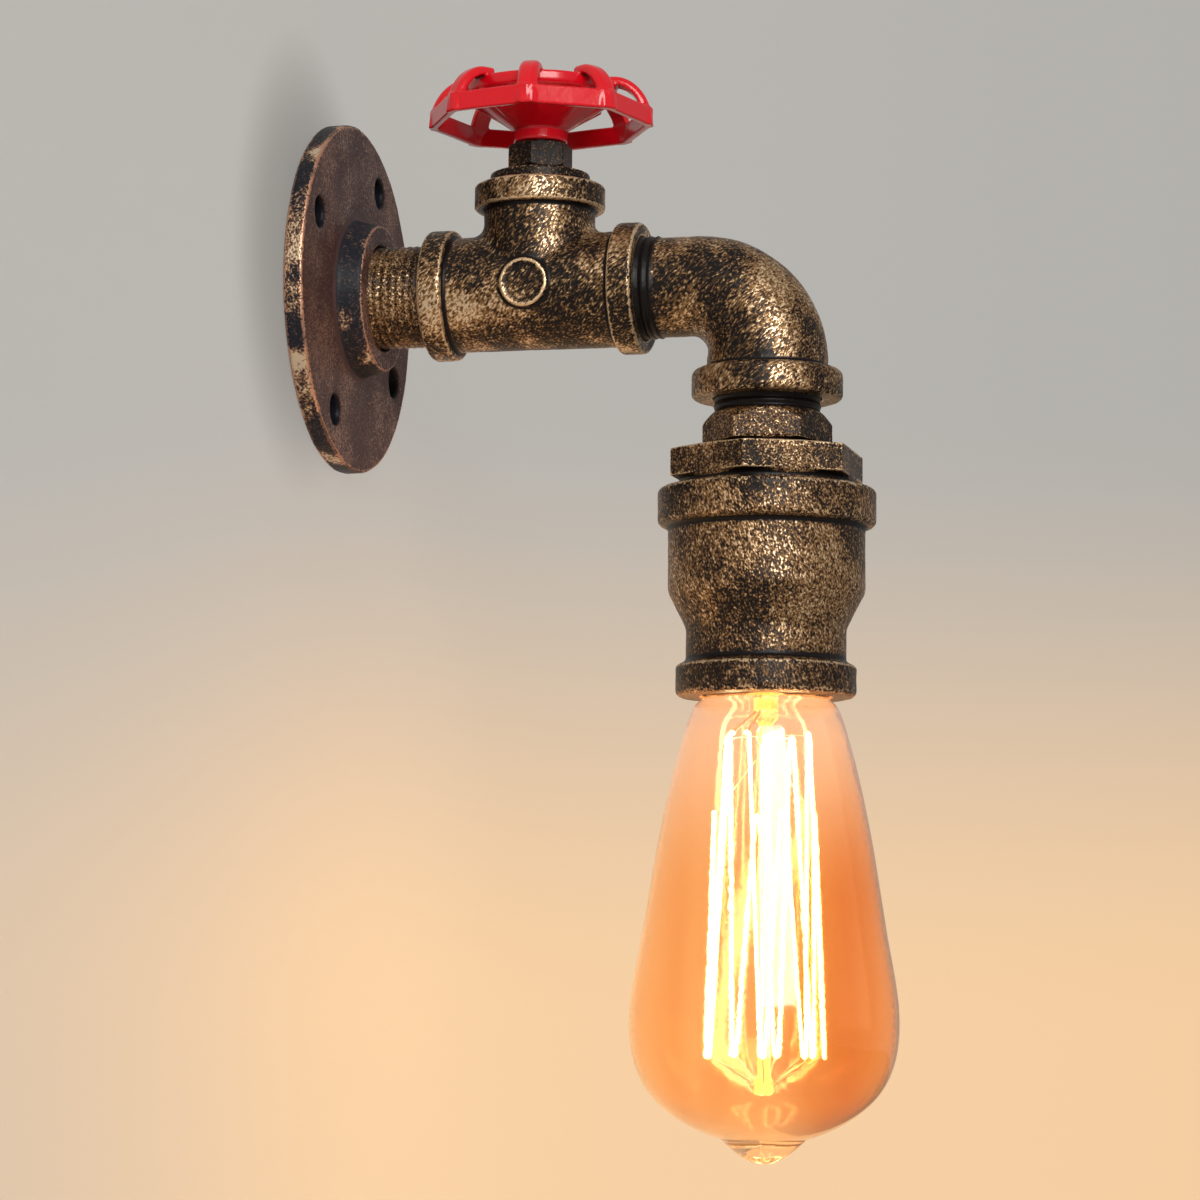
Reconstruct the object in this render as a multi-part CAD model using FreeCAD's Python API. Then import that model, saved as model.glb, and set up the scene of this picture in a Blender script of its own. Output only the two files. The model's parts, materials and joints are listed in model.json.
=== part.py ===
import FreeCAD, Part
import math
import os
from FreeCAD import Vector

# A pipe wall light: a cast wall flange, a close nipple, a tee with a valve handwheel
# on its branch, a street elbow, a hex nipple, a hex bushing and a reducing socket
# that hides the lampholder of a pear shaped filament bulb.
# Millimetres. The origin is the centre of the flange's back face, on the wall.
# The arm runs out along -Y, +Z is up, and the bulb hangs down at the arm's end.

# Wall flange
plate_radius = 43.0
plate_thickness = 4.8
plate_edge_round = 0.7
boss_base_radius = 19.5
boss_front_radius = 18.0
boss_height = 6.6
screw_circle_radius = 34.0
screw_hole_radius = 3.5
screw_dish = 0.8
screw_count = 4
screw_turn = 17.0

# Pipe thread and bore shared by the nipple, the tee and the elbow's male end
pipe_radius = 12.6
pipe_wall = 2.7
pipe_pitch = 1.814
pipe_thread_depth = 0.55
pipe_engagement = 9.5
turning_clearance = 0.05
nipple_exposed = 13.0

# Tee
tee_half_length = 26.8
tee_wall = 1.5
tee_neck_step = 0.5
tee_bead_radius = 16.0
tee_bead_width = 6.1
tee_branch_height = 26.3
tee_inner_radius = 10.4
tee_blend = 3.2
medal_radius = 6.0
medal_rim = 1.0
medal_relief = 0.9
medal_hollow = 0.5

# Earth screw inside the tee
earth_pad_radius = 4.0
earth_pad_top = -9.2
earth_tag_thickness = 0.6
earth_tongue_width = 2.4
earth_tongue_length = 6.0
earth_tongue_overlap = 1.4
earth_barrel_length = 3.6
earth_screw_radius = 1.5
earth_head_radius = 2.9
earth_head_height = 1.7

# Branch plug, gland nut and rotary switch
plug_dome_radius = 12.2
plug_rim_height = 2.8
plug_dome_height = 1.0
plug_dome_top_radius = 8.9
plug_depth = 9.2
gland_corner_radius = 8.08
gland_height = 6.5
gland_chamfer = 0.6
gland_phase = 58.7
switch_neck_radius = 5.0
switch_neck_hole_clearance = 0.15
switch_radius = 9.2
switch_height = 9.0
switch_wall = 1.5
switch_cover_thickness = 1.4
switch_pin_radius = 1.8
switch_pin_bore = 1.15
switch_pin_length = 2.6
switch_pin_offset = 5.0
shaft_radius = 3.0
shaft_clearance = 0.05
rotor_radius = 6.2
rotor_thickness = 1.4
rotor_gap = 0.4

# Handwheel, heights above the underside of its rim
dish_height = 10.2
wheel_corner_radius = 27.7
wheel_sides = 8
wheel_phase = 8.0
wheel_skirt_height = 4.6
wheel_skirt_wall = 1.7
knuckle_centre_radius = 18.0
knuckle_height = 12.3
knuckle_width = 5.0
knuckle_wall = 2.2
knuckle_round = 1.5
dish_ring_radius = 18.7
dish_ring_depth = 2.8
dish_wall = 1.5
hub_radius = 6.6
hub_drop = 4.1
hub_plain = 3.2
hub_top = 4.6
spoke_width = 2.2
spoke_depth = 1.3
hub_clearance = 0.4
wheel_washer_radius = 5.4
wheel_washer_thickness = 0.8
wheel_nut_corner_radius = 5.5
wheel_nut_height = 3.4
shaft_tail = 1.2

# Street elbow
elbow_thread_exposed = 4.2
elbow_arm_radius = 12.1
elbow_leg_radius = 14.6
elbow_reach = 26.3
elbow_bend_radius = 18.4
elbow_bore_radius = 8.8
elbow_bead_radius = 18.2
elbow_bead_height = 7.2
elbow_bead_start = 21.2
elbow_socket_depth = 10.0

# Hex nipple below the elbow
nipple_thread_radius = 13.0
hex_nipple_gap = 3.6
hex_nipple_corner_radius = 15.7
hex_nipple_height = 7.1
hex_nipple_chamfer = 2.6
hex_nipple_bore = 9.4
hex_nipple_phase = 161.8
hex_nipple_engagement = 8.6

# Hex bushing
bushing_gap = 1.7
bushing_corner_radius = 24.2
bushing_height = 7.0
bushing_chamfer = 0.4
bushing_phase = 179.3
bushing_thread_radius = 20.95
bushing_engagement = 6.1
bushing_bore = 10.6
bushing_socket_depth = 10.0

# Reducing socket
reducer_gap = 2.3
reducer_length = 50.0
reducer_top_bead_radius = 26.2
reducer_top_bead_height = 8.7
reducer_body_radius = 23.6
reducer_taper_start = 24.8
reducer_taper_length = 8.8
reducer_neck_radius = 19.15
reducer_bottom_bead_radius = 21.6
reducer_bottom_bead_height = 7.3
reducer_chamber_radius = 19.4
reducer_neck_bore = 16.2
reducer_mouth_radius = 15.3
reducer_mouth_depth = 4.6

# Lampholder and what hangs it inside the reducing socket
plate_disc_radius = 20.5
plate_disc_thickness = 1.5
tube_radius = 5.0
tube_bore = 3.6
tube_above_plate = 5.2
tube_nut_corner_radius = 8.1
tube_nut_height = 2.5
strap_gap = 0.5
strap_thickness = 1.5
strap_length = 31.0
strap_width = 10.5
strap_end_margin = 3.0
strap_screw_radius = 1.5
strap_screw_head_radius = 2.6
strap_screw_head_height = 1.6
holder_post_height = 3.3
holder_post_radius = 3.2
holder_base_thickness = 3.4
holder_radius = 18.5
holder_shoulder_depth = 10.5
holder_skirt_radius = 15.7
holder_length = 28.5
holder_bore = 14.2
terminal_length = 4.6
terminal_width = 5.4
terminal_height = 3.2
terminal_offset = 12.4
terminal_screw_radius = 1.5
terminal_head_height = 1.0
terminal_head_radius = 2.2
terminal_foot = 0.8
contact_width = 4.0
contact_thickness = 0.4
contact_drop = 1.05
shell_wall = 0.4
shell_hole_radius = 7.0
shell_plain = 3.2
shell_length = 23.0
rivet_radius = 1.1
rivet_head_radius = 1.7
rivet_head_height = 0.5
contact_rivet_offset = 5.0
shell_rivet_offset = 10.4

# Edison screw thread of the bulb's cap, 27 mm nominal
screw_pitch = 3.629
cap_crest_radius = 13.22
cap_root_radius = 12.10
screw_clearance = 0.30
cap_wall = 0.35
tip_gap = 0.10
tip_height = 1.2
tip_radius = 4.6
tip_seat_gap = 0.05
insulator_height = 3.5
insulator_base_radius = 11.5
cap_length = 22.3
cap_plain_skirt = 4.1
cap_top_hole_radius = 9.0

# Bulb glass. Profile points are a radius and a share of the depth of the pip below the mouth
glass_wall = 0.7
glass_neck_radius = 12.15
glass_neck_rise = 6.6
glass_neck_straight = 3.0
glass_pip_depth = 110.2
glass_profile = [
    (13.2, -0.0082), (16.4, 0.0136), (18.5, 0.0499), (21.2, 0.1334), (25.8, 0.3276), (29.7, 0.5417),
    (31.8, 0.6606), (32.0, 0.6987), (31.1, 0.7759), (27.8, 0.8439), (20.6, 0.9047), (10.2, 0.9474),
]
glass_pip_profile = [(7.6, 0.9682), (4.6, 0.9882), (2.2, 0.9973)]
glass_pip_hollow = 4.0

# Filament cage and the glass mount that carries it
flare_wall = 0.8
flare_waist_radius = 3.0
flare_length = 6.5
pinch_length = 7.0
pinch_round = 2.0
rod_radius = 1.5
rod_end_clearance = 16.2
rod_button_radius = 2.3
collar_drop = 2.3
cage_strands = 16
cage_positions = 17
cage_top_radius = 11.4
cage_bottom_radius = 14.3
cage_top = 9.5
cage_end_rise = 9.4
support_rise = 2.2
cage_phase = 169.5
filament_radius = 0.28
filament_bend_radius = 0.31
hook_radius = 0.2
hook_gap = 0.05
inner_lead_radius = 0.35

# Wiring
flex_radius = 2.9
core_radius = 1.1
core_spacing = 1.25
live_core_height = 1.5
core_bend_radius = 4.0
flex_bend_radius = 29.0
lead_wall_gap = 0.5
flex_joint_gap = 0.2
flex_lead_in = 2.5
sheath_end_beyond_axis = 12.8
sheath_end_in_tube = 2.3
earth_lead_radius = 0.9
holder_core_radius = 0.9
holder_core_spacing = 1.2
holder_core_bend = 2.2
holder_core_rise = 1.8

# Places along the arm, measured out from the wall
boss_front = plate_thickness + boss_height
tee_start = boss_front + nipple_exposed
tee_axis = tee_start + tee_half_length
tee_end = tee_axis + tee_half_length
elbow_shoulder = tee_end + elbow_thread_exposed
head_axis = elbow_shoulder + elbow_reach
pipe_bore = pipe_radius - pipe_wall
tee_thread_radius = pipe_radius + turning_clearance
tee_body_radius = pipe_radius + tee_wall
tee_neck_radius = tee_body_radius - tee_neck_step
flex_split = head_axis - flex_bend_radius - flex_lead_in

# Heights up the branch
branch_top = tee_branch_height
plug_top = branch_top + plug_rim_height + plug_dome_height
gland_top = plug_top + gland_height
plug_bottom = branch_top - plug_depth
switch_top = plug_bottom
switch_bottom = switch_top - switch_height
wheel_base = gland_top + hub_clearance + hub_drop

# Heights down the head
elbow_face = -(elbow_bead_start + elbow_bead_height)
hex_nipple_top = elbow_face - hex_nipple_gap
hex_nipple_bottom = hex_nipple_top - hex_nipple_height
bushing_top = hex_nipple_bottom - bushing_gap
bushing_hex_bottom = bushing_top - bushing_height
bushing_bottom = bushing_hex_bottom - reducer_gap - bushing_engagement
reducer_top = bushing_hex_bottom - reducer_gap
mouth = reducer_top - reducer_length
disc_bottom = bushing_bottom - plate_disc_thickness
strap_screw_offset = strap_length / 2 - strap_end_margin
strap_top = disc_bottom - tube_nut_height - strap_gap
strap_bottom = strap_top - strap_thickness
holder_top = strap_bottom - holder_post_height
base_bottom = holder_top - holder_base_thickness
holder_bottom = holder_top - holder_length
tip_top = base_bottom - contact_drop - tip_gap
insulator_top = tip_top - tip_height
cap_top = insulator_top - insulator_height
cap_bottom = cap_top - cap_length
neck_top = mouth + glass_neck_rise
rod_bottom = glass_pip_depth - rod_end_clearance
rod_collar_depth = flare_length + pinch_length + collar_drop - glass_neck_rise
cage_bottom = rod_bottom - cage_end_rise


def rounded_edges(corners):
    """Edges of a closed outline. Each corner is (x, y, rounding radius)."""
    count = len(corners)
    starts = []
    ends = []
    middles = []
    for index in range(count):
        x, y, radius = corners[index]
        here = Vector(x, y, 0)
        before = Vector(corners[index - 1][0], corners[index - 1][1], 0)
        after = Vector(corners[(index + 1) % count][0], corners[(index + 1) % count][1], 0)
        if radius <= 0:
            starts.append(here)
            ends.append(here)
            middles.append(None)
            continue
        to_before = before.sub(here)
        to_after = after.sub(here)
        room = 0.49 * min(to_before.Length, to_after.Length)
        to_before.normalize()
        to_after.normalize()
        half_angle = to_before.getAngle(to_after) / 2
        cut = min(radius / math.tan(half_angle), room)
        radius = cut * math.tan(half_angle)
        inward = to_before.add(to_after)
        inward.normalize()
        centre = here.add(inward * (radius / math.sin(half_angle)))
        starts.append(here.add(to_before * cut))
        ends.append(here.add(to_after * cut))
        middles.append(centre.sub(inward * radius))
    edges = []
    for index in range(count):
        if middles[index] is not None:
            edges.append(Part.Arc(starts[index], middles[index], ends[index]).toShape())
        following = starts[(index + 1) % count]
        if ends[index].distanceToPoint(following) > 1e-6:
            edges.append(Part.LineSegment(ends[index], following).toShape())
    return edges


def with_rounding(points):
    """Fill in a rounding radius of nought where a point gives none."""
    return [(p[0], p[1], p[2] if len(p) > 2 else 0) for p in points]


def turned(points):
    """Solid turned round the Z axis from an outline of (radius, height, rounding)."""
    edges = rounded_edges(with_rounding(points))
    face = Part.Face(Part.Wire(edges))
    face.rotate(Vector(0, 0, 0), Vector(1, 0, 0), 90)
    solid = face.revolve(Vector(0, 0, 0), Vector(0, 0, 1), 360)
    return solid


def on_arm(shape):
    """Turn a piece made along +Z so that it points out of the wall, along -Y."""
    shape.rotate(Vector(0, 0, 0), Vector(1, 0, 0), 90)
    return shape


def at(shape, distance, height=0.0, across=0.0):
    """Move a piece to a distance from the wall, a height and a place across."""
    shape.translate(Vector(across, -distance, height))
    return shape


def disc(radius, low, high):
    """Upright cylinder on the Z axis between two heights."""
    return Part.makeCylinder(radius, high - low, Vector(0, 0, low))


def tube(outer, inner, low, high):
    """Upright tube on the Z axis between two heights."""
    return disc(outer, low, high).cut(disc(inner, low - 1, high + 1))


def thread_rings(radius, depth, pitch, low, high):
    """Outline points of thread crests and roots from one height to another."""
    turns = max(1, int(round((high - low) / pitch)))
    step = (high - low) / turns
    points = []
    for turn in range(turns):
        base = low + turn * step
        points.append((radius, base + 0.12 * step))
        points.append((radius - depth, base + 0.5 * step))
        points.append((radius, base + 0.88 * step))
    return points


def hexagon(corner_radius, low, high, phase, chamfer_top=0.0, chamfer_bottom=0.0):
    """Upright hexagonal prism whose corners can be cut back by a 30 degree cone."""
    corners = []
    for index in range(6):
        angle = math.radians(phase + 60 * index)
        corners.append(Vector(corner_radius * math.cos(angle), corner_radius * math.sin(angle), low))
    prism = Part.Face(Part.makePolygon(corners + [corners[0]])).extrude(Vector(0, 0, high - low))
    flat_radius = corner_radius * math.cos(math.radians(30))
    inset = (corner_radius - flat_radius) * 1.08
    big = corner_radius + 1
    slope_top = chamfer_top / inset
    slope_bottom = chamfer_bottom / inset
    points = [(0, low), (0, high)]
    if chamfer_top > 0:
        points.append((corner_radius - inset, high))
        points.append((big, high - slope_top * (big - corner_radius + inset)))
    else:
        points.append((big, high))
    if chamfer_bottom > 0:
        points.append((big, low + slope_bottom * (big - corner_radius + inset)))
        points.append((corner_radius - inset, low))
    else:
        points.append((big, low))
    return prism.common(turned(points))


def swept(points_and_radii, radius):
    """Round bar along straight runs joined by tangent arcs. Prints the least bend."""
    points = [Vector(*p[:3]) for p in points_and_radii]
    radii = [p[3] if len(p) > 3 else 0 for p in points_and_radii]
    edges = []
    last = points[0]
    for index in range(1, len(points) - 1):
        back = points[index - 1].sub(points[index])
        on = points[index + 1].sub(points[index])
        back.normalize()
        on.normalize()
        half_angle = back.getAngle(on) / 2
        cut = radii[index] / math.tan(half_angle)
        inward = back.add(on)
        inward.normalize()
        centre = points[index].add(inward * (radii[index] / math.sin(half_angle)))
        start = points[index].add(back * cut)
        end = points[index].add(on * cut)
        edges.append(Part.LineSegment(last, start).toShape())
        edges.append(Part.Arc(start, centre.sub(inward * radii[index]), end).toShape())
        last = end
    edges.append(Part.LineSegment(last, points[-1]).toShape())
    path = Part.Wire(edges)
    length = path.Length
    heading = edges[0].Vertexes[-1].Point.sub(edges[0].Vertexes[0].Point)
    ring = Part.Wire(Part.makeCircle(radius, points[0], heading))
    solid = path.makePipeShell([ring], True, False)
    bends = [r for r in radii if r > 0]
    expected = math.pi * radius * radius * length
    print("bar radius %.2f length %.1f bends %s volume ratio %.4f"
          % (radius, length, bends, solid.Volume / expected))
    return solid


def straight_bar(start, end, radius):
    """Round bar between two points."""
    return Part.makeCylinder(radius, end.distanceToPoint(start), start, end.sub(start))


def polar(radius, angle_degrees, height):
    """Point at a radius, an angle and a height."""
    angle = math.radians(angle_degrees)
    return Vector(radius * math.cos(angle), radius * math.sin(angle), height)


def wall_flange():
    """Round cast plate with a raised boss, a threaded bore and dished screw holes."""
    boss_foot = 1.8
    body = turned([
        (0, 0), (plate_radius, 0, 0.3), (plate_radius, plate_thickness, plate_edge_round),
        (boss_base_radius, plate_thickness, boss_foot), (boss_front_radius, boss_front, 0.9),
        (0, boss_front),
    ])
    body = body.cut(disc(pipe_radius, -1, boss_front + 1))
    body = body.cut(turned([
        (0, boss_front + 0.5), (pipe_radius + 1.3, boss_front + 0.5), (pipe_radius - 0.5, boss_front - 1.3),
        (0, boss_front - 1.3),
    ]))
    for index in range(screw_count):
        angle = 45 + screw_turn + 360 / screw_count * index
        place = polar(screw_circle_radius, angle, 0)
        hole = disc(screw_hole_radius, -1, plate_thickness + 1)
        floor = plate_thickness - screw_dish
        above = plate_thickness + screw_dish
        dish = turned([
            (0, floor), (screw_hole_radius, floor), (screw_hole_radius + screw_dish * 2, above), (0, above),
        ])
        cutter = hole.fuse(dish)
        cutter.translate(place)
        body = body.cut(cutter)
    return on_arm(body)


def arm_nipple():
    """Close nipple: short threaded pipe from the flange into the tee."""
    start = boss_front - pipe_engagement
    end = tee_start + pipe_engagement
    points = [(pipe_bore, start), (pipe_radius, start)]
    points += thread_rings(pipe_radius, pipe_thread_depth, pipe_pitch, boss_front, tee_start)
    points += [(pipe_radius, end), (pipe_bore, end)]
    return on_arm(turned(points))


def tee_body():
    """Cast tee with three beads, a blended branch, threaded mouths and a round medal."""
    half = tee_half_length
    bead = tee_bead_width
    body = on_arm(disc(tee_body_radius, -half, half)).fuse(disc(tee_neck_radius, 0, branch_top))
    seam = [edge for edge in body.Edges if is_seam(edge)]
    body = body.makeFillet(tee_blend, seam)
    for side in (-1, 1):
        ring = turned([
            (tee_body_radius - 1, half), (tee_bead_radius, half, 0.9),
            (tee_bead_radius, half - bead, 0.8), (tee_body_radius - 1, half - bead, 0),
        ])
        ring = on_arm(ring)
        if side > 0:
            ring.rotate(Vector(0, 0, 0), Vector(0, 0, 1), 180)
        body = body.fuse(ring)
    body = body.fuse(turned([
        (tee_neck_radius - 1, branch_top), (tee_bead_radius, branch_top, 0.9),
        (tee_bead_radius, branch_top - bead, 0.8), (tee_neck_radius - 1, branch_top - bead),
    ]))
    body = body.fuse(medal()).cut(tee_hollow())
    pad = disc(earth_pad_radius, -tee_inner_radius - 1.5, earth_pad_top)
    body = body.fuse(pad).cut(disc(earth_screw_radius, -tee_inner_radius - 1.6, earth_pad_top + 1))
    return at(body, tee_axis)


def tee_hollow():
    """Inside of the tee: its two bores and the three threaded mouths."""
    half = tee_half_length
    depth = pipe_engagement + 1.5
    hollow = on_arm(disc(tee_inner_radius, -half - 1, half + 1)).fuse(disc(tee_inner_radius, 0, branch_top + 1))
    for low, high in ((-half - 1, -half + depth), (half - depth, half + 1)):
        hollow = hollow.fuse(on_arm(disc(tee_thread_radius, low, high)))
    return hollow.fuse(disc(tee_thread_radius, plug_bottom - 1.2, branch_top + 1))


def is_seam(edge):
    """True for the curve where the tee's branch leaves its run."""
    if edge.Length < 2 * tee_neck_radius:
        return False
    box = edge.BoundBox
    return box.ZMin > 0 and box.ZMax < tee_body_radius + 0.01 and box.XLength > tee_neck_radius / 2


def medal():
    """Plain round medal with a raised rim on the side of the tee."""
    face = tee_body_radius + medal_relief
    floor = face - medal_hollow
    foot = tee_inner_radius + 1
    blank = turned([
        (0, foot), (medal_radius, foot), (medal_radius, face, 0.25),
        (medal_radius - medal_rim, face, 0.2), (medal_radius - medal_rim, floor), (0, floor),
    ])
    blank.rotate(Vector(0, 0, 0), Vector(0, 1, 0), -90)
    return blank


def earth_screw():
    """Cheese head screw that holds the earth tag to the pad in the tee."""
    shank = disc(earth_screw_radius, -tee_inner_radius - 1.5, earth_pad_top + earth_tag_thickness)
    low = earth_pad_top + earth_tag_thickness
    head = disc(earth_head_radius, low, low + earth_head_height)
    slot = Part.makeBox(2 * earth_head_radius + 1, 0.7, 0.8,
                        Vector(-earth_head_radius - 0.5, -0.35, low + earth_head_height - 0.7))
    return at(shank.fuse(head).cut(slot), tee_axis)


def earth_tag():
    """Ring tag with a crimped barrel on the earth lead."""
    low = earth_pad_top
    high = low + earth_tag_thickness
    ring = disc(earth_pad_radius - 0.4, low, high)
    tongue = Part.makeBox(earth_tongue_width, earth_tongue_length, earth_tag_thickness,
                          Vector(-earth_tongue_width / 2, 0, low))
    barrel_start = earth_tongue_length - earth_tongue_overlap
    barrel_outer = earth_lead_radius + 0.35
    centre_height = high + earth_lead_radius + 0.05
    along = Vector(0, 1, 0)
    mouth_end = Vector(0, barrel_start - 0.2, centre_height)
    barrel = Part.makeCylinder(barrel_outer, earth_barrel_length, Vector(0, barrel_start, centre_height), along)
    bore = Part.makeCylinder(earth_lead_radius, earth_barrel_length + 2, mouth_end, along)
    tag = ring.fuse(tongue).fuse(barrel).cut(bore)
    tag = tag.cut(disc(earth_screw_radius, low - 1, high + 0.2))
    return at(tag, tee_axis)


def earth_lead():
    """Earth core from the wall to the tag."""
    height = earth_pad_top + earth_tag_thickness + earth_lead_radius + 0.05
    start = Vector(0, -lead_wall_gap, height)
    end = Vector(0, -(tee_axis - earth_tongue_length + earth_tongue_overlap - 0.2), height)
    return straight_bar(start, end, earth_lead_radius)


def branch_plug():
    """Domed plug screwed into the branch, with a hole for the switch neck."""
    body = turned([
        (0, plug_bottom), (pipe_radius, plug_bottom, 0.4), (pipe_radius, branch_top),
        (plug_dome_radius, branch_top), (plug_dome_radius, branch_top + plug_rim_height, 0.5),
        (plug_dome_top_radius, plug_top, 0.4), (0, plug_top),
    ])
    hole = disc(switch_neck_radius + switch_neck_hole_clearance, plug_bottom - 1, plug_top + 1)
    return at(body.cut(hole), tee_axis)


def gland_nut():
    """Hexagon nut on the switch neck that clamps the switch under the plug."""
    nut = hexagon(gland_corner_radius, plug_top, gland_top, gland_phase, gland_chamfer, gland_chamfer)
    return at(nut.cut(disc(switch_neck_radius, plug_top - 1, gland_top + 1)), tee_axis)


def switch_housing():
    """Moulded body of the rotary switch with its threaded neck."""
    body = disc(switch_radius, switch_bottom, switch_top)
    neck = disc(switch_neck_radius, switch_top, gland_top - 0.3)
    body = body.fuse(neck)
    cavity = disc(switch_radius - switch_wall, switch_bottom - 1, switch_top - switch_wall)
    body = body.cut(cavity)
    body = body.cut(disc(shaft_radius + shaft_clearance, switch_bottom, gland_top + 1))
    return at(body, tee_axis)


def switch_cover():
    """Bottom plate of the switch, with two holes for the contact pins."""
    cover = disc(switch_radius - switch_wall - 0.05, switch_bottom, switch_bottom + switch_cover_thickness)
    for side in (-1, 1):
        pin = disc(switch_pin_radius, switch_bottom - 1, switch_bottom + switch_cover_thickness + 1)
        pin.translate(Vector(0, side * switch_pin_offset, 0))
        cover = cover.cut(pin)
    return at(cover, tee_axis)


def switch_pins():
    """Two brass contact pins with solder cups for the leads."""
    solids = []
    low = switch_bottom - switch_pin_length
    high = switch_bottom + switch_cover_thickness + 0.5
    for side in (-1, 1):
        pin = disc(switch_pin_radius, low, high)
        pin = pin.cut(disc(switch_pin_bore, low - 1, switch_bottom))
        pin.translate(Vector(0, side * switch_pin_offset, 0))
        solids.append(pin)
    return at(Part.makeCompound(solids), tee_axis)


def switch_rotor():
    """Contact rotor at the foot of the shaft, above the pins."""
    low = switch_bottom + switch_cover_thickness + 0.5 + rotor_gap
    rotor = disc(rotor_radius, low, low + rotor_thickness)
    notch = Part.makeBox(rotor_radius, 2 * rotor_radius, rotor_thickness + 2,
                         Vector(rotor_radius * 0.55, -rotor_radius, low - 1))
    rotor = rotor.cut(notch).cut(disc(shaft_radius, low - 1, low + rotor_thickness + 1))
    return at(rotor, tee_axis)


def wheel_shaft():
    """Shaft from the rotor up through the neck, the hub and its nut."""
    low = switch_bottom + switch_cover_thickness + 0.5 + rotor_gap
    high = wheel_base + hub_top + wheel_washer_thickness + wheel_nut_height + shaft_tail
    shaft = turned([(0, low), (shaft_radius, low), (shaft_radius, high, 0.5), (0, high)])
    return at(shaft, tee_axis)


def octagon(corner_radius, low, high):
    """Upright prism of the wheel's rim shape."""
    corners = []
    for index in range(wheel_sides + 1):
        corners.append(polar(corner_radius, wheel_phase + 360 / wheel_sides * index, low))
    return Part.Face(Part.makePolygon(corners)).extrude(Vector(0, 0, high - low))


def arch_face(span, rise, inner_radius):
    """Upright face under a quarter ellipse that runs in from the rim and up."""
    curve_points = []
    for step in range(7):
        angle = math.radians(15 * step)
        curve_points.append(Vector(knuckle_centre_radius + span * math.cos(angle), 0, rise * math.sin(angle)))
    curve = Part.BSplineCurve()
    curve.interpolate(curve_points)
    edges = [
        curve.toShape(),
        Part.LineSegment(curve_points[-1], Vector(inner_radius, 0, rise)).toShape(),
        Part.LineSegment(Vector(inner_radius, 0, rise), Vector(inner_radius, 0, 0)).toShape(),
        Part.LineSegment(Vector(inner_radius, 0, 0), curve_points[0]).toShape(),
    ]
    return Part.Face(Part.Wire(edges))


def knuckle():
    """One knuckle of the wheel: an open arch from the rim to the dish, at angle nought."""
    span = wheel_corner_radius - knuckle_centre_radius
    inner = dish_ring_radius - dish_wall - 1.2
    block = arch_face(span, knuckle_height, inner).extrude(Vector(0, knuckle_width, 0))
    crest = [edge for edge in block.Edges if is_knuckle_crest(edge)]
    block = block.makeFillet(knuckle_round, crest)
    hollow = arch_face(span - knuckle_wall, knuckle_height - knuckle_wall, knuckle_centre_radius - 0.5)
    hollow = hollow.extrude(Vector(0, knuckle_width, 0))
    hollow.translate(Vector(0, 0, -0.01))
    leg = Part.makeBox(knuckle_centre_radius, knuckle_width, 1 + dish_height - dish_ring_depth / 2,
                       Vector(0, 0, -1))
    block = block.cut(hollow).cut(leg)
    block.translate(Vector(0, -knuckle_width / 2, 0))
    return block


def is_knuckle_crest(edge):
    """True for the two curved outer edges of a knuckle and their level ends."""
    if isinstance(edge.Curve, Part.BSplineCurve):
        return True
    box = edge.BoundBox
    return box.ZMin > knuckle_height - 0.01 and box.YLength < 0.01


def dish():
    """Funnel shaped middle of the wheel with its hub."""
    ring_bottom = dish_height - dish_ring_depth
    cone_foot = hub_plain - hub_drop
    slope = (ring_bottom - cone_foot) / (dish_ring_radius - hub_radius)
    lift = dish_wall * math.sqrt(1 + slope * slope)
    inner_radius = dish_ring_radius - dish_wall
    return turned([
        (shaft_radius, -hub_drop), (hub_radius, -hub_drop, 0.5), (hub_radius, cone_foot, 0.5),
        (dish_ring_radius, ring_bottom, 1.5), (dish_ring_radius, dish_height, 0.6),
        (inner_radius, dish_height, 0.6), (inner_radius, ring_bottom - slope * dish_wall + lift, 1.0),
        (hub_radius, cone_foot + lift, 0.5),
        (hub_radius, hub_top, 0.5), (shaft_radius, hub_top),
    ])


def spoke():
    """Rib under the dish from the hub towards one knuckle, at angle nought."""
    ring_bottom = dish_height - dish_ring_depth
    cone_foot = hub_plain - hub_drop
    start = hub_radius - 1
    end = dish_ring_radius - 0.4
    corners = [
        Vector(start, 0, cone_foot - 0.2), Vector(end, 0, ring_bottom - spoke_depth),
        Vector(end, 0, ring_bottom + 0.6), Vector(start, 0, cone_foot + 0.6),
    ]
    rib = Part.Face(Part.makePolygon(corners + [corners[0]])).extrude(Vector(0, spoke_width, 0))
    rib.translate(Vector(0, -spoke_width / 2, 0))
    return rib


def handwheel():
    """Eight sided valve handwheel: skirt, hollow knuckles, funnel dish, ribs and hub."""
    wall_at_corner = wheel_skirt_wall / math.cos(math.pi / wheel_sides)
    skirt = octagon(wheel_corner_radius, 0, wheel_skirt_height)
    skirt = skirt.cut(octagon(wheel_corner_radius - wall_at_corner, -1, wheel_skirt_height + 1))
    pieces = []
    for index in range(wheel_sides):
        for piece in (knuckle(), spoke()):
            piece.rotate(Vector(0, 0, 0), Vector(0, 0, 1), wheel_phase + 360 / wheel_sides * index)
            pieces.append(piece)
    wheel = skirt.multiFuse([dish()] + pieces).removeSplitter()
    return at(wheel, tee_axis, wheel_base)


def wheel_washer():
    """Plain washer on the hub."""
    low = wheel_base + hub_top
    return at(tube(wheel_washer_radius, shaft_radius, low, low + wheel_washer_thickness), tee_axis)


def wheel_nut():
    """Hexagon nut that holds the wheel on its shaft."""
    low = wheel_base + hub_top + wheel_washer_thickness
    nut = hexagon(wheel_nut_corner_radius, low, low + wheel_nut_height, wheel_phase, 0.5, 0)
    return at(nut.cut(disc(shaft_radius, low - 1, low + wheel_nut_height + 1)), tee_axis)


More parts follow.
